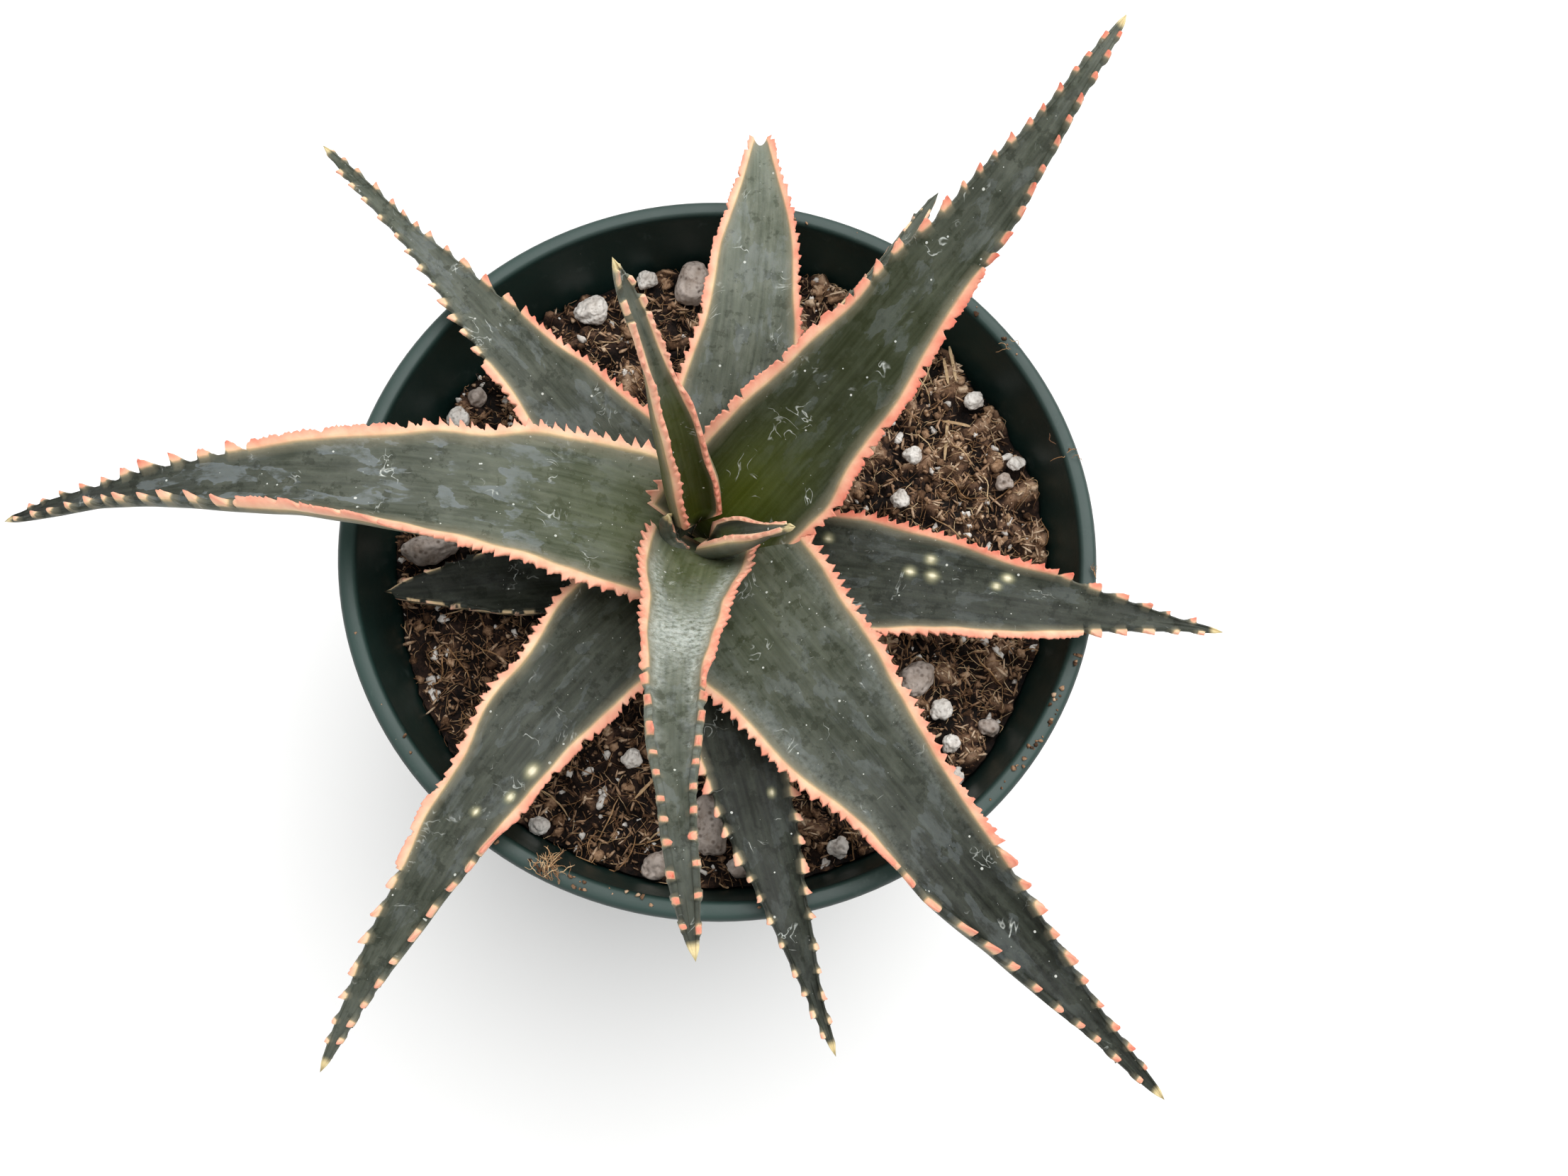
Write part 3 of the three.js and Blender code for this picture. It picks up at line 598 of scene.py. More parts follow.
def stone_material(name, pale, dark, pore_mm, pore_share, dirt):
    """Foamed volcanic rock: chalky, matt, pitted with pores and dusted with soil."""
    material, stone = new_material(name)
    spot = add(material, COORDINATE, {}, "Object")
    cloud = add(material, NOISE, {"Vector": spot, "Scale": 1 / (3 * MM), "Detail": 5})
    cloud_share = add(material, RAMP, {0: cloud}, stops=((0.35, 0), (0.65, 1)))
    pores = add(material, VORONOI, {"Vector": spot, "Scale": 1 / (pore_mm * MM)}, "Distance")
    pits = add(material, RAMP, {0: pores}, stops=((0.12, 1), (0.34, 0)))
    pit_share = add(material, MATH, {0: pits, 1: pore_share}, operation="MULTIPLY")
    soil_cloud = {"Vector": spot, "Scale": 1 / (1.3 * MM), "Detail": 6, "Roughness": 0.7}
    soiling = add(material, NOISE, soil_cloud)
    soiled = add(material, RAMP, {0: soiling}, stops=((0.5, 0), (0.7, 1)))
    dirt_share = add(material, MATH, {0: soiled, 1: dirt}, operation="MULTIPLY")
    colour = linear(dark)
    for share, code in ((cloud_share, pale), (pit_share, "#5b4a3e"), (dirt_share, "#4a3426")):
        colours = {SHARE: share, FIRST: colour, SECOND: linear(code)}
        colour = add(material, MIX, colours, RESULT, data_type="RGBA")
    relief = add(material, MATH, {0: pores, 1: soiling}, operation="ADD")
    bump = add(material, BUMP, {"Height": relief, "Strength": 0.7, "Distance": 0.3 * MM})
    feed(material, stone, {
        "Base Color": colour, "Normal": bump, "Roughness": 0.88, "Specular IOR Level": 0.25,
    })
    return material


def fibre_material():
    """Coir and root fibres: dry, stringy and slightly glossy, from straw to dark brown."""
    material, fibre = new_material("dry_coir_fibre")
    # Each point's tone carries painted light, paler towards the right.
    tone = add(material, ATTRIBUTE, {}, "Fac", attribute_name="crumb_tone_and_light")
    spot = add(material, COORDINATE, {}, "Object")
    stripes = add(material, NOISE, {"Vector": spot, "Scale": 1 / (0.6 * MM), "Detail": 3})
    stripes = add(material, MATH, {0: stripes, 1: 0.5}, operation="SUBTRACT")
    mixed = add(material, MATH, {0: stripes, 1: 0.4, 2: tone}, operation="MULTIPLY_ADD")
    colour = add(
        material, RAMP, {0: mixed},
        stops=(
            (0.0, linear("#38241a")), (0.35, linear("#6f4d34")),
            (0.7, linear("#a98158")), (1.0, linear("#dcc096")),
        ),
    )
    feed(material, fibre, {"Base Color": colour, "Roughness": 0.6})
    return material


def stem_material():
    """Soft stem flesh: pale green with brown dried scars where old leaves came away."""
    material, stem = new_material("green_stem_flesh")
    spot = add(material, COORDINATE, {}, "Object")
    scar_bands = {"Vector": spot, "Scale": 1 / (7 * MM), "Distortion": 3, "Detail": 3}
    scars = add(material, "ShaderNodeTexWave", scar_bands, bands_direction="Z")
    scar_share = add(material, RAMP, {0: scars}, stops=((0.45, 0), (0.8, 1)))
    colours = {SHARE: scar_share, FIRST: linear("#5d6a35"), SECOND: linear("#7d6340")}
    colour = add(material, MIX, colours, RESULT, data_type="RGBA")
    bump = add(material, BUMP, {"Height": scars, "Strength": 0.5, "Distance": 0.3 * MM})
    feed(material, stem, {"Base Color": colour, "Normal": bump, "Roughness": 0.6})
    return material


# ---------------------------------------------------------------- leaves
def margin_teeth(rng, length, saw_end, band_end):
    """How far the margin reaches out along one side of a leaf, as a share of the band's width.

    Near the root it is a regular saw. Then long straight stretches are parted by steep bites.
    Past band_end it breaks up into separate fins, and near the tip into small thorns. Every
    tooth rises slowly on its root side and drops steeply on its tip side.
    """
    marks = [(0.0, 0.8)]
    place = rng.uniform(0.2, 1.0)
    while place < length:
        share = place / length
        if share < min(saw_end, band_end):
            young = max(0.0, 1 - share / 0.2)
            pitch = rng.uniform(1.7, 2.9)
            high = rng.uniform(0.92, 1.18) + 0.3 * young
            low = rng.uniform(0.4, 0.6) - 0.1 * young
            marks += [(place, low), (place + 0.45 * pitch, low + 0.36 * (high - low))]
            marks += [(place + 0.8 * pitch, high), (place + 0.86 * pitch, high)]
            marks += [(place + 0.93 * pitch, low + 0.05)]
            place += pitch
        elif share < band_end:
            run = rng.uniform(1.2, 3.0) if rng.random() < 0.35 else rng.uniform(3.5, 9.0)
            bite = rng.uniform(0.8, 1.6)
            high = rng.uniform(0.92, 1.1)
            low = rng.uniform(0.35, 0.7)
            step = place
            while step < place + run - 0.8:
                pitch = rng.uniform(0.9, 1.7)
                small = rng.uniform(0.04, 0.2)
                marks += [(step, high - small), (step + 0.75 * pitch, high)]
                marks += [(step + 0.85 * pitch, high - small)]
                step += pitch
            place = step
            marks += [(place, high + 0.04), (place + 0.12, low + 0.08)]
            marks += [(place + 0.35 * bite, low), (place + 0.7 * bite, low + 0.1)]
            place += bite
        elif share < band_end + 0.17:
            base = rng.uniform(2.6, 4.6)
            gap = rng.uniform(0.5, 1.8)
            high = rng.uniform(1.0, 1.35)
            marks += [(place, 0.02), (place + 0.3 * base, 0.3 * high)]
            marks += [(place + 0.66 * base, 0.86 * high), (place + 0.9 * base, high)]
            marks += [(place + base, 0.3 * high), (place + base + 0.25, 0.02)]
            place += base + 0.3 + gap
            marks += [(place - 0.1, 0.0)]
        else:
            base = rng.uniform(1.8, 2.9)
            gap = rng.uniform(0.9, 2.6)
            high = rng.uniform(0.9, 1.4)
            marks += [(place, 0.0), (place + 0.45 * base, 0.3 * high), (place + 0.85 * base, high)]
            marks += [(place + base, 0.3 * high), (place + base + 0.25, 0.0)]
            place += base + 0.3 + gap
            marks += [(place - 0.1, 0.0)]
    return np.array(marks)


def along_leaf(ends, shares):
    """A value that runs evenly from the leaf's root to its tip."""
    return ends[0] + (ends[1] - ends[0]) * shares


def leaf_frames(leaf, shares):
    """The spine's points and axes (along, left side, up) at each share of the length."""
    heading = np.radians(along_leaf(leaf["heading"], shares))
    slope = np.radians(along_leaf(leaf["slope"], shares))
    along = np.stack([np.cos(heading) * np.cos(slope), np.sin(heading) * np.cos(slope), np.sin(slope)], 1)
    level = np.stack([-np.sin(heading), np.cos(heading), np.zeros_like(heading)], 1)
    bank = math.radians(leaf["bank"])
    side = math.cos(bank) * level + math.sin(bank) * np.cross(along, level)
    up = np.cross(along, side)
    start = math.radians(leaf["heading"][0])
    root = np.array([STEM_X, STEM_Y, SOIL_LEVEL + leaf["height"]])
    root[:2] += LEAF_ROOT_OFFSET * np.array([math.cos(start), math.sin(start)])
    steps = np.diff(shares)[:, None] * leaf["length"] * (along[1:] + along[:-1]) / 2
    spine = root + np.concatenate([np.zeros((1, 3)), np.cumsum(steps, 0)])
    return spine, along, side, up


def leaf_outline(leaf, shares):
    """Half the leaf's width at each share of its length."""
    fullness, taper = leaf["outline"]
    root = LEAF_ROOT_WIDTH + (1 - LEAF_ROOT_WIDTH) * np.minimum(1, shares / LEAF_ROOT_LENGTH)
    half = root * (1 - shares ** fullness) ** taper * leaf["width"] / 2
    # Near the tip the leaf narrows less than its outline, down to a blunt end.
    left = np.maximum(0, 1 - shares) * leaf["length"]
    blunt = 0.25 + leaf.get("strap", 0.25) * left ** 0.6
    half = np.maximum(half, blunt * smooth_step(0.3, 0.8, shares))
    return np.maximum(half, LEAST_HALF_WIDTH)


def side_curve(half, fold, turn):
    """Each row's section from the middle to the margin: its length, places across and up, angle.

    It starts level and turns up to the fold. turn says how late it turns. The places are shares
    of the length.
    """
    angle = fold[:, None] * CURVE_SHARES[None, :] ** turn[:, None]
    start = np.zeros((len(half), 1))
    step = 0.5 / CURVE_STEPS
    flat, steep = np.cos(angle), np.sin(angle)
    across = np.concatenate([start, np.cumsum((flat[:, 1:] + flat[:, :-1]) * step, 1)], 1)
    up = np.concatenate([start, np.cumsum((steep[:, 1:] + steep[:, :-1]) * step, 1)], 1)
    length = half / across.max(1)
    return length, across, up, angle


def side_points(curve, reach):
    """Places across and up, and the surface's angle, at distances reach (rows x columns) out."""
    length, across, up, angle = curve
    out = np.empty(reach.shape + (3,))
    for row in range(len(length)):
        share = reach[row] / length[row]
        inside = np.minimum(share, 1)
        beyond = np.maximum(share - 1, 0)
        last = angle[row, -1]
        flat = np.interp(inside, CURVE_SHARES, across[row]) + beyond * math.cos(last)
        steep = np.interp(inside, CURVE_SHARES, up[row]) + beyond * math.sin(last)
        out[row, :, 0] = flat * length[row]
        out[row, :, 1] = steep * length[row]
        out[row, :, 2] = np.interp(inside, CURVE_SHARES, angle[row])
    return out


def leaf_side(leaf, number, index, rng, shares, half, flesh):
    """One side of a leaf, laid out flat: the strips of its face, its belly and its edge.

    A strip's values are the place across, up and on towards the tip, then the margin's paint
    (0 where the band starts, 1 at its edge) and the distance from the middle over the skin.
    """
    sign = 1 - 2 * index
    place = shares * leaf["length"]
    band = leaf["band"] * (half / 16) ** 0.3
    band = np.minimum(band, 0.62 * half + 0.25)

    # The teeth, finely serrated, which shrink away at the very tip.
    end = leaf["band_end"][index]
    marks = margin_teeth(rng, leaf["length"], leaf["saw"][index], end)
    tooth = np.interp(place, marks[:, 0], marks[:, 1])
    serration = ripple(rng, 0.9, count=4)(place) * 0.07 + ripple(rng, 2.2, count=3)(place) * 0.02
    tooth = tooth + serration * np.clip(tooth * 2, 0, 1)
    tooth = np.maximum(tooth, 0.0) * smooth_step(1.0, 0.975, shares)

    # The face rises to the margin, late and steeply where the leaf's edge is rolled up.
    fold_root, fold_tip = leaf["fold"][index]
    fold_from = leaf["fold_from"][index]
    turned = smooth_step(fold_from - 0.12, fold_from + 0.22, shares)
    fold = np.radians(along_leaf((fold_root, fold_tip), turned))
    turn = 1.5 + 1.6 * turned * (fold_tip > STEEP_FOLD)
    sway = ripple(rng, 30, count=3)(place) * 0.4 + ripple(rng, 13, count=3)(place) * 0.07
    curve = side_curve(half + sway * np.minimum(1, half / 8), fold, turn)

    # The columns' distances from the middle. The band's inner part lies within the outline, and
    # less of it does where the margin has broken up.
    kept = 0.86 - 0.5 * smooth_step(end - 0.1, end + 0.2, shares)
    inner = np.maximum(curve[0] - kept * band, 0.35 * curve[0])[:, None]
    outer = inner + np.maximum(tooth * band, 0.05)[:, None]
    face_steps = (np.arange(1, FACE_COLUMNS + 1) / FACE_COLUMNS) ** 0.85
    band_steps = np.arange(1, BAND_COLUMNS + 1) / BAND_COLUMNS
    belly_steps = np.sin(np.arange(1, BELLY_COLUMNS + 1) / BELLY_COLUMNS * math.pi / 2)
    under_steps = np.array([0.35, 0.7, 1.0])
    reaches = {
        "face": np.concatenate([inner * face_steps, inner + (outer - inner) * band_steps], 1),
        "belly": np.concatenate([inner * belly_steps, inner + (outer - inner) * under_steps], 1),
        "edge": outer + 0.12,
    }

    # Where the margin has broken up, the skin between its teeth is bare of its colour.
    bare = 0.9 * smooth_step(end - 0.02, end + 0.08, shares) * np.clip(1 - 1.6 * tooth, 0, 1)
    bare = bare + 0.25 * smooth_step(end - 0.02, end + 0.12, shares)
    bare = bare * (leaf["coral"][index][0] >= 0)
    lift = ripple(rng, 17, count=3)(place) * 0.35
    hooked = np.clip(1.6 - 2 * np.abs(kept - 0.36), 0.25, 1)
    strips = {}
    for kind, reach in reaches.items():
        spots = side_points(curve, reach)
        out = np.clip((reach - inner) / band[:, None], -4, 1.4)
        beyond = np.clip(out, 0, 1)
        if kind == "face":
            swell = ripple(random.Random(7 * number + index), 13, 9)(place[:, None], reach * sign) * 0.1
            depth = swell * (1 - beyond) + 0.22 * np.sin(np.pi * np.clip(out + 0.15, 0, 1))
        else:
            thin = np.sqrt(np.clip(1 - (reach / inner) ** 2, 0, 1)) ** (2 * LEAF_BELLY)
            rim = np.minimum(MARGIN_THICKNESS - 0.8 * beyond, 0.9 * half[:, None])
            depth = -(rim + flesh[:, None] * thin)
            if kind == "edge":
                depth = depth / 2
        depth = depth + lift[:, None] * beyond
        across = spots[..., 0] - np.sin(spots[..., 2]) * depth
        height = spots[..., 1] + np.cos(spots[..., 2]) * depth
        forward = 0.42 * np.maximum(reach - inner, 0) * hooked[:, None]
        paint = out - bare[:, None]
        strips[kind] = np.stack([across * sign, height, forward, paint, reach * sign], -1)
    return strips


def shape_leaf(leaf, number, shares, half):
    """A leaf's rows laid out flat, as closed rings of columns, and which columns lie under it."""
    rng = random.Random(100 + number)
    place = shares * leaf["length"]
    thickness = max(LEAF_LEAST_THICKNESS, leaf["width"] * LEAF_THICKNESS_RATIO)
    flesh = thickness * np.sqrt(2 * half / leaf["width"]) * (1 - LEAF_TIP_THINNING * shares)
    flesh = np.minimum(flesh, 1.6 * half)
    left = leaf_side(leaf, number, 0, rng, shares, half, flesh)
    right = leaf_side(leaf, number, 1, rng, shares, half, flesh)
    middle = np.zeros((len(shares), 1, 5))
    middle[:, :, PAINT] = -4
    middle[:, 0, UP] = ripple(random.Random(number), 15)(place) * 0.1
    keel = middle.copy()
    keel[:, 0, UP] = -(np.minimum(MARGIN_THICKNESS, 0.9 * half) + flesh)
    upper = [left["edge"], left["face"][:, ::-1], middle, right["face"], right["edge"]]
    lower = [right["belly"][:, ::-1], keel, left["belly"], left["edge"]]
    ring = np.concatenate(upper + lower, 1)
    under = np.zeros(ring.shape[1])
    under[sum(strip.shape[1] for strip in upper):-1] = 1
    return ring, under


def bite_tip(ring, place, half):
    """Turns a broken tip into a round bite between two horns, thinner than the leaf."""
    near_end = smooth_step(place[-1] - 7, place[-1], place)[:, None]
    bitten = np.clip(1 - (ring[..., ACROSS] / (0.75 * half[-1])) ** 2, 0, 1)
    ring[..., ON] -= near_end * bitten * 1.7
    middle = ring[..., ACROSS] ** 2 * 0.12
    ring[..., UP] = middle + (ring[..., UP] - middle) * (1 - 0.75 * near_end)


def crease_root(ring, under, place, shares):
    """Creases the upper face crosswise, where the leaf bends near its root."""
    crease = np.sin(place * 2.9 + np.sin(place * 0.7) * 2) * smooth_step(0.12, 0.2, shares)
    crease = (crease * smooth_step(0.5, 0.38, shares))[:, None]
    crease = crease * np.sin(ring[..., ACROSS] * 0.9 + place[:, None] * 0.4)
    ring[..., UP] += 0.1 * crease * (under < 1) * (ring[..., PAINT] < 0)


def raise_spots(ring, under, place, spots):
    """Raises the cream spots a little from the face, and gives back how cream each point is."""
    cream = np.zeros(ring.shape[:2])
    for spot_across, spot_along, size in spots:
        gap = ((ring[..., ROUND] - spot_across) / size) ** 2
        gap = gap + ((place[:, None] - spot_along) / (1.4 * size)) ** 2
        cream = np.maximum(cream, np.exp(-1.8 * gap) * (1 - under))
    ring[..., UP] += 0.15 * cream
    return cream


def leaf_marks(leaf, number, ring, under, shares, half):
    """What the leaf's material reads at each point: its growth, place, finish and tone."""
    place = shares * leaf["length"]
    down = shares[:, None]
    coral = np.array(leaf["coral"])[np.where(ring[..., ACROSS] > 0, 0, 1)]
    coral = coral[..., 0] + (coral[..., 1] - coral[..., 0]) * down
    dry_tip = "lost_tip" not in leaf and leaf["coral"][0][0] >= 0
    dried = dry_tip * smooth_step(1.8, 0.6, place[-1] - place)[:, None]
    # Each leaf, and its underside, reads its own part of the patterns.
    reads = (ring[..., ROUND] + LEAF_PATTERN_STEP * number, place[:, None], UNDER_PATTERN_STEP * under)

    relative = ring[..., ROUND] / np.maximum(half[:, None], 1)
    olive = leaf["olive"] * smooth_step(0.42, 0.02, down) * np.clip(1.1 - relative ** 2 * 1.1, 0, 1)
    olive = np.maximum(olive, leaf.get("green", 0) * smooth_step(0.75, 0.4, down))
    stain = leaf.get("stain", 0) * smooth_step(0.08, 0.3, down) * smooth_step(0.95, 0.7, down)
    beside = np.clip(1 - np.abs(ring[..., PAINT] + 0.9) / 1.1, 0, 1)
    beside = beside * smooth_step(0.05, 0.15, down) * smooth_step(0.75, 0.4, down)
    bend = np.exp(-((down - 0.36) / 0.09) ** 2) * bool(leaf.get("wrinkle"))
    frost = leaf.get("frost", 0) * np.maximum(beside * 0.9, bend)
    finish = np.stack(np.broadcast_arrays(olive, stain, frost), -1)
    finish[..., 1:] *= (1 - 0.6 * under)[:, None]
    return {
        "leaf_growth": np.stack(np.broadcast_arrays(ring[..., PAINT], dried, coral), -1),
        "leaf_mm": np.stack(np.broadcast_arrays(*reads), -1),
        "leaf_finish": finish,
        "leaf_tone": along_leaf(leaf["tone"], down) + 0.3 * under,
    }


def close_end(piece):
    """Fills the open end that a lost tip leaves."""
    hold(piece)
    bpy.ops.object.mode_set(mode="EDIT")
    bpy.ops.mesh.select_all(action="DESELECT")
    bpy.ops.mesh.select_non_manifold()
    bpy.ops.mesh.fill()
    bpy.ops.mesh.select_all(action="SELECT")
    bpy.ops.mesh.normals_make_consistent(inside=False)
    bpy.ops.object.mode_set(mode="OBJECT")


def make_leaf(leaf, number, name, material, *nodes):
    """One leaf: a sheet wrapped into a closed skin, its face above and its fleshy belly below."""
    lost = leaf.get("lost_tip", 0)
    reach_end = 1 - lost / leaf["length"]
    rows = int(leaf["length"] * reach_end / STATION_STEP)
    shares = np.linspace(0, reach_end, rows + 1)
    place = shares * leaf["length"]
    half = leaf_outline(leaf, shares)
    ring, under = shape_leaf(leaf, number, shares, half)
    if lost:
        bite_tip(ring, place, half)
    if leaf.get("wrinkle"):
        crease_root(ring, under, place, shares)
    cream = raise_spots(ring, under, place, leaf.get("spots", ()))

    spine, along, side, up = (part[:, None, :] for part in leaf_frames(leaf, shares))
    points = spine + ring[..., ACROSS, None] * side + ring[..., UP, None] * up
    points = points + ring[..., ON, None] * along
    back = smooth_step(0.16, 0.0, shares)[:, None] * (ring[..., ACROSS] / half[:, None]) ** 2
    points = points - (leaf.get("clasp", 0) * back)[..., None] * along
    points[0] = points[0].mean(0) - along[0] * ROOT_POINT
    if not lost:
        points[-1] = points[-1].mean(0) + along[-1] * TIP_POINT

    piece, column, row = sheet_of_points(ring.shape[1] - 1, rows)
    place_points(piece.data, points[row, column] * MM)
    for mark, values in leaf_marks(leaf, number, ring, under, shares, half).items():
        note_points(piece.data, mark, values[row, column])
    note_points(piece.data, "leaf_spot", cream[row, column])
    weld(piece)
    if lost:
        close_end(piece)
    hold(piece)
    bpy.ops.object.shade_smooth()
    return finish_piece(piece, name, material, "leaf_skin", *nodes)


# ---------------------------------------------------------------- pot
def drawn_up(height, scale):
    """Extrudes the selected faces upwards by height (metres) and resizes them."""
    bpy.ops.mesh.extrude_region_move(TRANSFORM_OT_translate={"value": (0, 0, height)})
    bpy.ops.transform.resize(value=(scale, scale, 1), center_override=(0, 0, 0))


def make_pot(material):
    """The pot: drawn up from its base, over the rim and down the inside, then slotted and eased."""
    outside = wall_radius(0) + WALL_THICKNESS
    band_foot = POT_HEIGHT - RIM_BAND_HEIGHT
    profile = [
        (outside, 1.2),
        (wall_radius(6) + WALL_THICKNESS, 6),
        (wall_radius(band_foot - 2.6) + WALL_THICKNESS, band_foot - 2.6),
        (RIM_RADIUS - RIM_BAND_OVERHANG - 0.25, band_foot - 0.5),
        (RIM_RADIUS - RIM_BAND_OVERHANG, band_foot + 0.6),
        (RIM_RADIUS - 0.1, POT_HEIGHT - 1.6),
        (RIM_RADIUS - 0.25, POT_HEIGHT - 0.7),
        (RIM_RADIUS - 0.8, POT_HEIGHT - 0.12),
        (RIM_RADIUS - 1.3, POT_HEIGHT),
        (wall_radius(POT_HEIGHT) + 0.9, POT_HEIGHT),
        (wall_radius(POT_HEIGHT) + 0.35, POT_HEIGHT - 0.3),
        (wall_radius(POT_HEIGHT), POT_HEIGHT - 1.0),
        (wall_radius(POT_HEIGHT) - 0.05, POT_HEIGHT - 2.2),
        (wall_radius(POT_HEIGHT - 5), POT_HEIGHT - 5),
        (wall_radius(FLOOR_THICKNESS + 2), FLOOR_THICKNESS + 2),
        (wall_radius(FLOOR_THICKNESS) - 2, FLOOR_THICKNESS),
    ]
    clear_selection()
    radius, height = outside - 1.0, 0.0
    bpy.ops.mesh.primitive_circle_add(
        vertices=160, radius=radius * MM, fill_type="NGON", location=(0, 0, 0)
    )
    pot = bpy.context.object
    bpy.ops.object.mode_set(mode="EDIT")
    bpy.ops.mesh.select_all(action="SELECT")
    for next_radius, next_height in profile:
        drawn_up((next_height - height) * MM, next_radius / radius)
        radius, height = next_radius, next_height
    bpy.ops.mesh.inset(thickness=30 * MM, depth=0)
    bpy.ops.mesh.inset(thickness=1.2 * MM, depth=0.8 * MM)
    bpy.ops.object.mode_set(mode="OBJECT")
    weld(pot)
    # A shallow moulded step on the underside, inside the standing ring.
    bpy.ops.object.mode_set(mode="EDIT")
    bpy.ops.mesh.select_mode(type="FACE")
    bpy.ops.mesh.select_all(action="DESELECT")
    bpy.ops.object.mode_set(mode="OBJECT")
    for face in pot.data.polygons:
        face.select = face.normal.z < -0.9 and abs(face.center.z) < 0.1 * MM
    bpy.ops.object.mode_set(mode="EDIT")
    bpy.ops.mesh.inset(thickness=14 * MM, depth=0)
    bpy.ops.mesh.inset(thickness=1.0 * MM, depth=-0.7 * MM)
    bpy.ops.object.mode_set(mode="OBJECT")
    for index in range(DRAIN_SLOTS):
        clear_selection()
        angle = index * 2 * math.pi / DRAIN_SLOTS
        centre = (outside * math.cos(angle) * MM, outside * math.sin(angle) * MM, 0)
        bpy.ops.mesh.primitive_cube_add(size=1, location=centre, rotation=(0, 0, angle))
        cutter = bpy.context.object
        cutter.scale = (2 * DRAIN_SLOT_REACH * MM, DRAIN_SLOT_WIDTH * MM, 2 * DRAIN_SLOT_HEIGHT * MM)
        bpy.context.view_layer.update()
        settle(cutter)
        rounded = cutter.modifiers.new("rounded", "BEVEL")
        rounded.width = 1.6 * MM
        rounded.segments = 4
        apply_all(cutter)
        cut = pot.modifiers.new("slot", "BOOLEAN")
        cut.operation = "DIFFERENCE"
        cut.object = cutter
        cut.solver = "EXACT"
        apply_all(pot)
        bpy.data.objects.remove(cutter)
    eased = pot.modifiers.new("eased", "BEVEL")
    eased.width = 0.25 * MM
    eased.segments = 2
    eased.limit_method = "ANGLE"
    eased.angle_limit = math.radians(40)
    apply_all(pot)
    weld(pot, 0.002 * MM)
    hold(pot)
    bpy.ops.object.shade_smooth_by_angle(angle=math.radians(35))
    return finish_piece(pot, "nursery_pot", material, "pot_plastic", "pot")


# ---------------------------------------------------------------- soil
def crumbly_height(x, y):
    """The soil's top with its lumps and crumbs, in mm."""
    spot = Vector((x, y, 0))
    clods = noise.turbulence(spot / 6, 4, False) - 0.45
    crumbs = noise.noise(spot / 2.2) * 1.0 + noise.noise(spot / 0.9) * 0.4
    return float(soil_height(x, y)) + 3.6 * clods + crumbs


def painted_soil_shade_and_light(x, y, z):
    """Painted shade and light on the soil: dark in its gaps, pale on its clods, and paler to the right
    and back, where it is drier and painted as lit.
    """
    drier_and_lit_side = 0.0045 * x + 0.0028 * y
    return float(np.clip(0.5 + drier_and_lit_side + 0.38 * (z - float(soil_height(x, y))), 0, 1))


def make_soil(material):
    """The soil: a closed skin with a lumpy top, down the pot's wall and across its foot."""
    around, top_rows = 380, 112
    foot = FLOOR_THICKNESS + SOIL_GAP
    wall = [(wall_radius(height) - WALL_GAP, height) for height in (SOIL_LEVEL - 6, 60, SOIL_FOOT_HEIGHT)]
    wall += [
        (wall_radius(foot) - SOIL_FOOT_INSET, foot),
        (25, foot),
        (0, foot),
    ]
    rows = top_rows + len(wall)
    piece, column, row = sheet_of_points(around, rows)
    points = np.zeros((len(column), 3))
    tones = np.zeros(len(column))
    edge = wall_radius(SOIL_LEVEL) - 0.6
    for index, (step_round, ring) in enumerate(zip(column, row)):
        angle = 2 * math.pi * (step_round % around) / around
        if ring <= top_rows:
            radius = edge * ring / top_rows
            x, y = radius * math.cos(angle), radius * math.sin(angle)
            z = crumbly_height(x, y)
            fit = min(1.0, (wall_radius(z) - 0.5) / max(radius, 1e-6))
            x, y = x * fit, y * fit
            # The top's tone is the soil's painted shade and light.
            tones[index] = 0.85 * painted_soil_shade_and_light(x, y, z)
        else:
            radius, z = wall[ring - top_rows - 1]
            x, y = radius * math.cos(angle), radius * math.sin(angle)
        points[index] = (x, y, z)
    place_points(piece.data, points * MM)
    note_points(piece.data, "crumb_tone_and_light", tones)
    weld(piece)
    hold(piece)
    bpy.ops.object.shade_smooth()
    return finish_piece(piece, "potting_soil", material, "potting_soil", "soil")


def clear_of_stones(x, y, room=0.5):
    """False where one of the stones lies."""
    for low, high in STONE_BOXES:
        centre = (low + high) / 2 / MM
        size = (high - low) / 2 / MM
        if ((x - centre.x) / (size.x + room)) ** 2 + ((y - centre.y) / (size.y + room)) ** 2 < 1:
            return False
    return True


def soil_places(rng, count, room):
    """Random places on the soil's top, away from the stones."""
    edge = wall_radius(SOIL_LEVEL) - 1.5
    places = []
    while len(places) < count:
        radius = edge * math.sqrt(rng.random())
        angle = rng.uniform(0, 2 * math.pi)
        x, y = radius * math.cos(angle), radius * math.sin(angle)
        if clear_of_stones(x, y, room):
            places.append((x, y))
    return places


def rim_places(rng):
    """Places on top of the pot's rim where a few crumbs have been spilt, most at the front right."""
    places = []
    for turn, spread, count in ((-32, 9, 34), (-113, 6, 22), (35, 20, 10), (170, 60, 10)):
        for _ in range(count):
            angle = math.radians(rng.gauss(turn, spread))
            radius = RIM_RADIUS - rng.uniform(1.2, 3.4)
            places.append((radius * math.cos(angle), radius * math.sin(angle), POT_HEIGHT - 0.05))
    return places


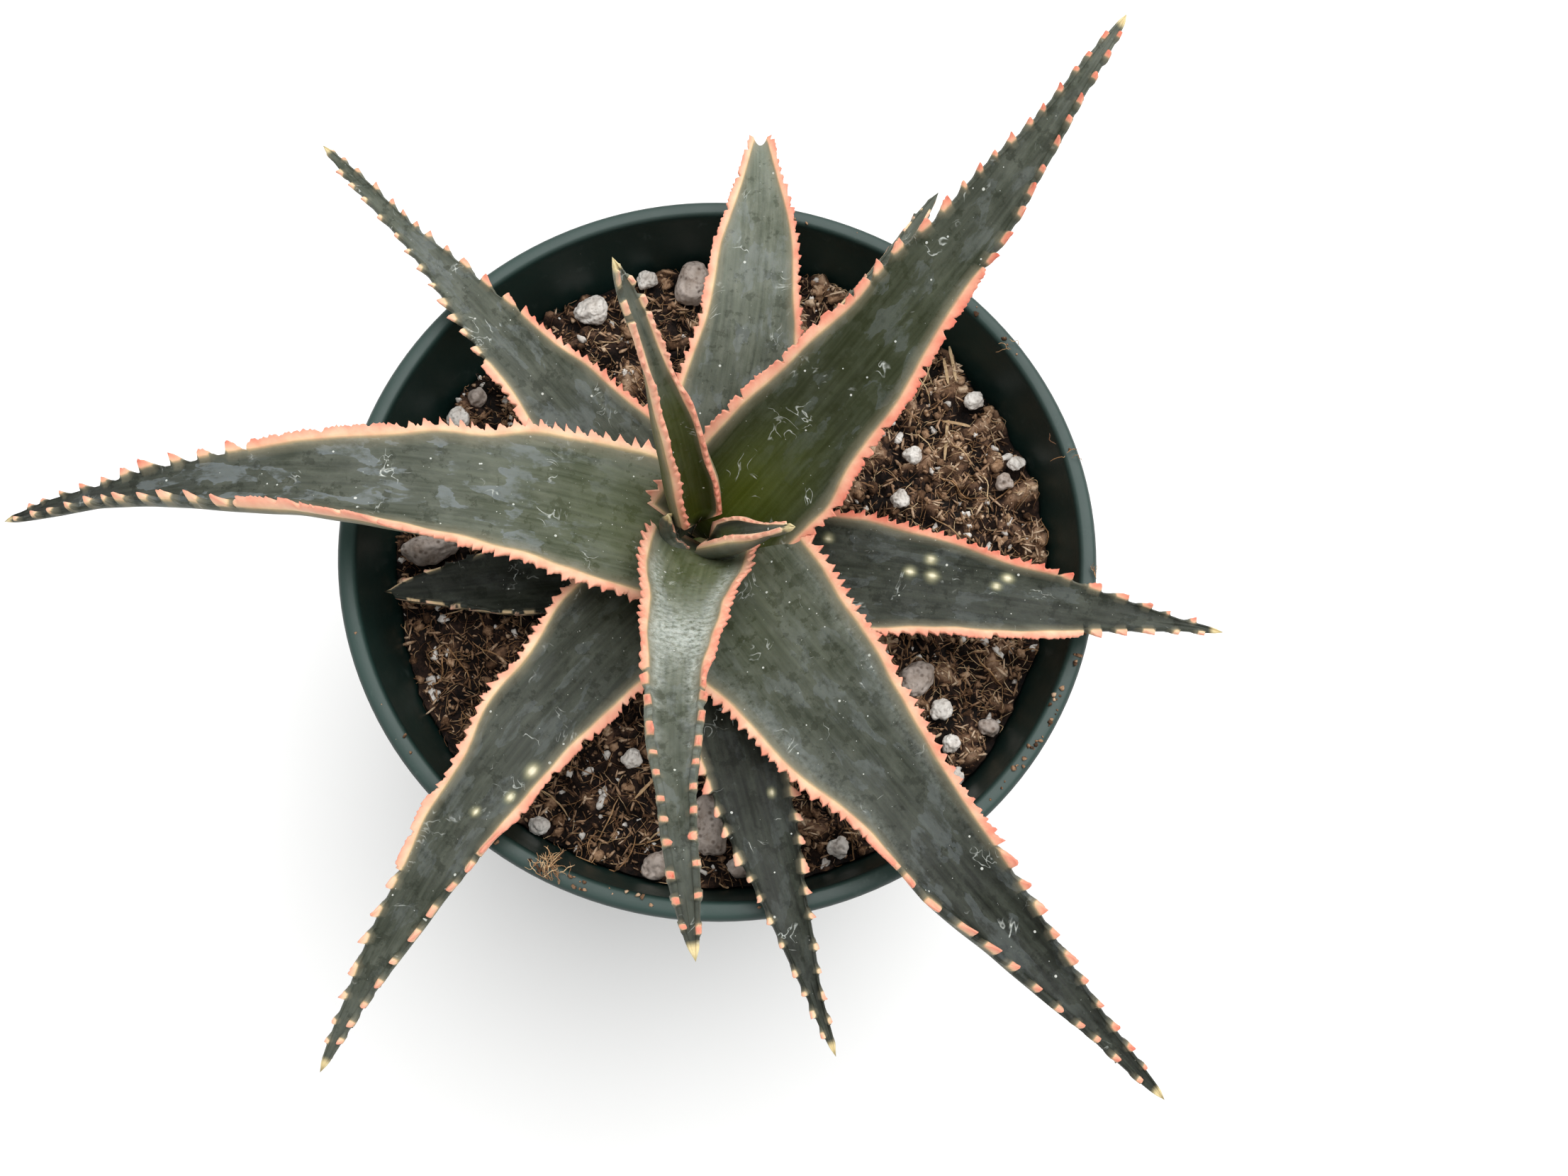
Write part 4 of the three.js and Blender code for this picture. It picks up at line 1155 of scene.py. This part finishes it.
def scatter(rng, shape, places, sizes, stretches, sunk, name, material, slot, tones):
    """Copies of one shape in one mesh, each turned, stretched and toned its own way."""
    base = points_of(shape.data)
    faces = np.empty(len(shape.data.polygons) * 3, dtype=int)
    shape.data.polygons.foreach_get("vertices", faces)
    faces = faces.reshape(-1, 3)
    all_points, all_faces, all_tones = [], [], []
    for index, (x, y, z) in enumerate(places):
        size = rng.uniform(*sizes) * rng.uniform(0.7, 1.0)
        stretch = np.array([rng.uniform(*pair) for pair in stretches])
        turn = Matrix.Rotation(rng.uniform(0, 6.28), 3, "Z")
        turn = turn @ Matrix.Rotation(rng.uniform(-0.9, 0.9), 3, "X")
        phase = rng.uniform(0, 6.28)
        lump = 1 + 0.22 * np.sin(4 * base[:, 0] + phase)
        lump = lump + 0.18 * np.sin(5 * base[:, 1] - 3 * base[:, 2] + phase)
        placed = (base * lump[:, None] * stretch * size / 2) @ np.array(turn).T
        all_points.append(placed + (x, y, z + size * (0.5 - sunk) * 0.6))
        all_faces.append(faces + index * len(base))
        # Each copy's tone combines its own random share with the soil's painted shade and light where it
        # lies (a fixed dark value on the rim), and its upper half is painted lighter as if lit from
        # above.
        raised = painted_soil_shade_and_light(x, y, z) if z < POT_HEIGHT - 1 else -0.2
        shade = rng.uniform(*tones) * 0.6 + 0.45 * raised + 0.14 * base[:, 2]
        all_tones.append(np.clip(shade, 0, 1))
    mesh = bpy.data.meshes.new(name)
    piece = bpy.data.objects.new(name, mesh)
    bpy.context.scene.collection.objects.link(piece)
    mesh.from_pydata((np.concatenate(all_points) * MM).tolist(), [], np.concatenate(all_faces).tolist())
    note_points(mesh, "crumb_tone_and_light", np.concatenate(all_tones))
    hold(piece)
    bpy.ops.object.shade_smooth()
    return finish_piece(piece, name, material, slot)


def make_crumbs(peat, perlite):
    """Peat crumbs, shreds of bark and fine perlite grains, strewn over the soil."""
    clear_selection()
    bpy.ops.mesh.primitive_ico_sphere_add(subdivisions=2, radius=1)
    lump = bpy.context.object
    clear_selection()
    bpy.ops.mesh.primitive_ico_sphere_add(subdivisions=1, radius=1)
    chip = bpy.context.object
    rng = random.Random(21)
    round_ish = ((0.7, 1.3), (0.7, 1.1), (0.55, 0.9))
    rough_grain = ((0.6, 1.6), (0.6, 1.1), (0.5, 0.9))
    shred = ((1.2, 2.6), (0.25, 0.55), (0.15, 0.35))
    soil = (peat, "potting_soil")
    stone = (perlite, "perlite_stone")
    for name, shape, count, room, sizes, stretches, sunk, (material, slot), tones in (
        ("peat_lumps", lump, 900, 0.2, (1.2, 3.2), round_ish, 0.3, soil, (0.0, 0.8)),
        ("peat_crumbs", chip, 4200, 0.0, (0.4, 1.4), round_ish, 0.1, soil, (0.0, 1.0)),
        ("bark_shreds", chip, 6800, 0.0, (0.6, 1.9), shred, -0.3, soil, (0.0, 1.0)),
        ("perlite_grains", lump, 560, 0.3, (0.6, 2.4), rough_grain, 0.3, stone, (0.0, 1.0)),
    ):
        places = [(x, y, crumbly_height(x, y)) for x, y in soil_places(rng, count, room)]
        if name == "peat_crumbs":
            places += rim_places(rng)
        scatter(rng, shape, places, sizes, stretches, sunk, name, material, slot, tones)
    bpy.data.objects.remove(lump)
    bpy.data.objects.remove(chip)


def fibre_path(rng, x, y, length, steps, lift):
    """A fibre's points: it wanders over the soil, and its middle arches up a little."""
    heading = rng.uniform(0, 2 * math.pi)
    bend = rng.uniform(-0.22, 0.22)
    path = []
    for step in range(steps + 1):
        share = step / steps
        ground = crumbly_height(x, y)
        path.append((x, y, ground + 0.4 + lift * math.sin(math.pi * share) + 0.25 * rng.uniform(-1, 1)))
        heading += bend + rng.uniform(-0.22, 0.22)
        x += length / steps * math.cos(heading)
        y += length / steps * math.sin(heading)
        limit = wall_radius(SOIL_LEVEL) - 0.8
        radius = math.hypot(x, y)
        if radius > limit:
            x, y = x * limit / radius, y * limit / radius
    return path


def thread(path, thickness, sides=3):
    """The points and faces of a thin closed thread along a path, thinner at its ends."""
    path = np.array(path)
    points, faces = [], []
    for step, middle in enumerate(path):
        onward = path[min(step + 1, len(path) - 1)] - path[max(step - 1, 0)]
        onward = onward / (np.linalg.norm(onward) + 1e-9)
        across = np.cross(onward, (0, 0, 1))
        across = across / (np.linalg.norm(across) + 1e-9)
        raised = np.cross(across, onward)
        radius = thickness / 2 * (0.45 if step in (0, len(path) - 1) else 1)
        for corner in range(sides):
            angle = 2 * math.pi * corner / sides
            points.append(middle + radius * (math.cos(angle) * across + math.sin(angle) * raised))
    for step in range(len(path) - 1):
        for corner in range(sides):
            a = step * sides + corner
            b = step * sides + (corner + 1) % sides
            faces.append((a, b, b + sides))
            faces.append((a, b + sides, a + sides))
    last = (len(path) - 1) * sides
    faces.append((2, 1, 0))
    faces.append((last, last + 1, last + 2))
    return points, faces


def make_fibres(material):
    """Coir and root fibres that lie tangled on the soil, and a few bits of straw."""
    rng = random.Random(5)
    all_points, all_faces, all_tones = [], [], []

    def lay(path, thickness, tone):
        points, faces = thread(path, thickness)
        start = len(all_points)
        all_points.extend(points)
        all_faces.extend([tuple(corner + start for corner in face) for face in faces])
        all_tones.extend([tone] * len(points))

    # Fine fibres, paler towards the right, where they are drier and painted as lit from that side.
    for x, y in soil_places(rng, 4200, 0.0):
        path = fibre_path(rng, x, y, rng.uniform(1.5, 5.0), 5, rng.uniform(0, 1.2))
        lay(path, rng.uniform(0.08, 0.2), min(1.0, rng.uniform(0.05, 0.95) + max(0.0, 0.004 * x)))
    for x, y in soil_places(rng, 150, 0.5):
        path = fibre_path(rng, x, y, rng.uniform(5, 11), 6, rng.uniform(0.3, 2.2))
        lay(path, rng.uniform(0.2, 0.42), rng.uniform(0.5, 1.0))
    # Stiff bits of straw.
    for x, y, turn, reach, thickness, tone in (
        (50, 52.5, -33, 8, 1.3, 0.8), (48.7, 46, -87, 7, 0.8, 0.9), (50, 49, -84, 9, 0.8, 0.95),
        (49, 31, -95, 9, 0.8, 0.9), (48, 31, -19, 6, 0.7, 0.85), (-8, -45, 62, 11, 0.9, 1.0),
        (-17, -52, 48, 9, 0.7, 0.8), (-52, -12, 30, 8, 0.6, 0.7),
    ):
        way = Vector((math.cos(math.radians(turn)), math.sin(math.radians(turn)))) * reach
        low, high = crumbly_height(x, y) + 1.0, crumbly_height(x + way.x, y + way.y) + 1.6
        path = []
        for share in np.linspace(0, 1, 7):
            rise = low + (high - low) * share + 0.3 * math.sin(math.pi * share)
            path.append((x + way.x * share, y + way.y * share, rise))
        lay(path, thickness, tone)
    # Fibres of soil that hang on the pot's rim.
    for x, y, count in ((-31, -66.5, 46), (75, -9, 5), (70, 18, 4), (60, 43, 3)):
        for _ in range(count):
            near = Vector((x + rng.gauss(0, 1.3), y + rng.gauss(0, 1.1), 0))
            path = []
            heading = rng.uniform(0, 2 * math.pi)
            for step in range(6):
                radius = math.hypot(near.x, near.y)
                if radius > RIM_RADIUS - 0.8:
                    near *= (RIM_RADIUS - 0.8) / radius
                onto = POT_HEIGHT + 0.25 - max(0.0, RIM_RADIUS - 4.5 - radius) * 1.2
                path.append((near.x, near.y, onto + rng.uniform(0.0, 1.3)))
                heading += rng.uniform(-0.7, 0.7)
                near += Vector((math.cos(heading), math.sin(heading), 0)) * 0.6
            lay(path, rng.uniform(0.1, 0.24), rng.uniform(0.3, 1.0))
    mesh = bpy.data.meshes.new("coir_fibres")
    piece = bpy.data.objects.new("coir_fibres", mesh)
    bpy.context.scene.collection.objects.link(piece)
    mesh.from_pydata((np.array(all_points) * MM).tolist(), [], all_faces)
    note_points(mesh, "crumb_tone_and_light", all_tones)
    weld(piece, 0.0001 * MM)
    return finish_piece(piece, "coir_fibres", material, "potting_soil")


# ---------------------------------------------------------------- stones and stem
def make_stone(node, material, slot, lump_mm, lump_height, pit_mm, pit_depth, name):
    """A stone from its plain solid: smoothed, then lumped and pitted, and fitted to its box."""
    low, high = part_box(node)
    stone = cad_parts[node].copy()
    stone.data = stone.data.copy()
    stone.parent = None
    bpy.context.scene.collection.objects.link(stone)
    for key in list(stone.keys()):
        del stone[key]
    weld(stone, 0.005 * MM, turn_out=False)
    smooth = stone.modifiers.new("rounded", "SUBSURF")
    smooth.levels = 3
    smooth.render_levels = 3
    apply_all(stone)
    mesh = stone.data
    points = points_of(mesh)
    normals = np.empty(len(mesh.vertices) * 3)
    mesh.vertices.foreach_get("normal", normals)
    normals = normals.reshape(-1, 3)
    for index, (point, normal) in enumerate(zip(points.copy(), normals)):
        spot = Vector(point / MM)
        lump = noise.noise(spot / lump_mm) * lump_height
        lump += noise.noise(spot / (0.4 * lump_mm)) * lump_height * 0.4
        near = noise.voronoi(spot / pit_mm)[0][0]
        pit = pit_depth * max(0.0, 0.42 - near) / 0.42
        points[index] = point + normal * (lump - pit) * MM
    centre = (points.max(0) + points.min(0)) / 2
    size = points.max(0) - points.min(0)
    want = np.array(high - low)
    points = (points - centre) / size * want + np.array((low + high) / 2)
    place_points(mesh, points)
    for attribute in ("custom_normal", "sharp_edge"):
        if attribute in mesh.attributes:
            mesh.attributes.remove(mesh.attributes[attribute])
    hold(stone)
    bpy.ops.object.shade_smooth()
    return finish_piece(stone, name, material, slot, node)


def make_stem(material):
    """The short stem: a post drawn in between the rings where old leaves came away."""
    clear_selection()
    radius = STEM_FOOT_RADIUS
    foot = (0, 0, STEM_FOOT * MM)
    bpy.ops.mesh.primitive_circle_add(vertices=40, radius=radius * MM, fill_type="NGON", location=foot)
    stem = bpy.context.object
    bpy.ops.object.mode_set(mode="EDIT")
    bpy.ops.mesh.select_all(action="SELECT")
    rise = (STEM_TOP - STEM_FOOT) / STEM_RINGS
    for ring in range(STEM_RINGS):
        share = (ring + 1) / STEM_RINGS
        wanted = STEM_FOOT_RADIUS + (STEM_TOP_RADIUS - STEM_FOOT_RADIUS) * share
        wanted *= 1.0 if ring % 2 else 0.93
        drawn_up(rise * MM, wanted / radius)
        radius = wanted
    bpy.ops.object.mode_set(mode="OBJECT")
    weld(stem)
    stem.data.transform(Matrix.Translation((STEM_X * MM, STEM_Y * MM, 0)))
    smooth = stem.modifiers.new("rounded", "SUBSURF")
    smooth.levels = 2
    smooth.render_levels = 2
    apply_all(stem)
    hold(stem)
    bpy.ops.object.shade_smooth()
    return finish_piece(stem, "short_stem", material, "stem_flesh", "stem")


# ---------------------------------------------------------------- make everything
leaf_skin = leaf_skin_material()
for leaf_number, leaf in enumerate(LEAVES, 1):
    make_leaf(leaf, leaf_number, f"aloe_leaf_{leaf_number:02d}", leaf_skin, f"leaf_{leaf_number:02d}")
for leaf_number, leaf in enumerate(HEART, 1):
    make_leaf(leaf, len(LEAVES) + leaf_number, f"heart_leaf_{leaf_number}", leaf_skin)

make_pot(pot_plastic_material())
make_stem(stem_material())

pumice_skin = stone_material("chalky_pumice", "#cbbfb6", "#a49589", 1.6, 0.7, 0.5)
perlite_skin = stone_material("foamed_perlite", "#f3efe8", "#d3cbc2", 1.1, 0.35, 0.35)
for stone_node in STONE_NODES:
    if stone_node.startswith("pumice"):
        stone_name = stone_node.replace("_", "_stone_")
        make_stone(stone_node, pumice_skin, "pumice_stone", 2.6, 0.5, 1.5, 0.45, stone_name)
    else:
        stone_name = stone_node.replace("_", "_grain_")
        make_stone(stone_node, perlite_skin, "perlite_stone", 1.7, 0.55, 0.9, 0.25, stone_name)

make_soil(peat_material("damp_peat", "#0d0705", "#38261d", "#86664e", "#bf9f83"))
make_crumbs(peat_material("dry_peat_crumbs", "#1c110c", "#61452f", "#b18d6e", "#e6ccae"), perlite_skin)
make_fibres(fibre_material())


# ---------------------------------------------------------------- floor, light and camera
def make_floor():
    """A plain pale floor."""
    clear_selection()
    bpy.ops.mesh.primitive_plane_add(size=6, location=(0, 0, 0))
    floor = bpy.context.object
    floor.name = "studio_floor"
    material, paper = new_material("matt_white_paper")
    paper.inputs["Base Color"].default_value = linear("#f7f7f6")
    paper.inputs["Roughness"].default_value = 0.9
    floor.data.materials.append(material)


def make_light():
    """Bright soft daylight from all round, with a wide soft box above at the back on the right."""
    world = bpy.data.worlds.new("soft_daylight")
    world.use_nodes = True
    sky = world.node_tree.nodes["Background"]
    sky.inputs["Color"].default_value = (1, 1, 1, 1)
    sky.inputs["Strength"].default_value = 0.8
    bpy.context.scene.world = world
    lamp = bpy.data.lights.new("soft_box", "AREA")
    lamp.shape = "DISK"
    lamp.size = 1.5
    lamp.energy = 16
    box = bpy.data.objects.new("soft_box", lamp)
    bpy.context.scene.collection.objects.link(box)
    place = Vector((0.3, 0.4, 1.2))
    box.matrix_world = Matrix.Translation(place) @ (-place).to_track_quat("-Z", "Y").to_matrix().to_4x4()


def make_camera():
    """A wide lens just above the plant, tipped so that it looks down and a little to the back."""
    camera = bpy.data.cameras.new("viewer")
    camera.sensor_width = 36
    camera.lens = 27.03
    camera.clip_start = 0.01
    viewer = bpy.data.objects.new("viewer", camera)
    bpy.context.scene.collection.objects.link(viewer)
    right = Vector((0.9982, 0.0, 0.0604)).normalized()
    forward = Vector((0.0579, 0.2849, -0.9568)).normalized()
    up = right.cross(forward)
    turn = Matrix((right, up, -forward)).transposed()
    viewer.matrix_world = Matrix.Translation(Vector((-1.6, -78.7, 337.9)) * MM) @ turn.to_4x4()
    bpy.context.scene.camera = viewer


make_floor()
make_light()
make_camera()
bpy.context.scene.view_settings.view_transform = "Standard"
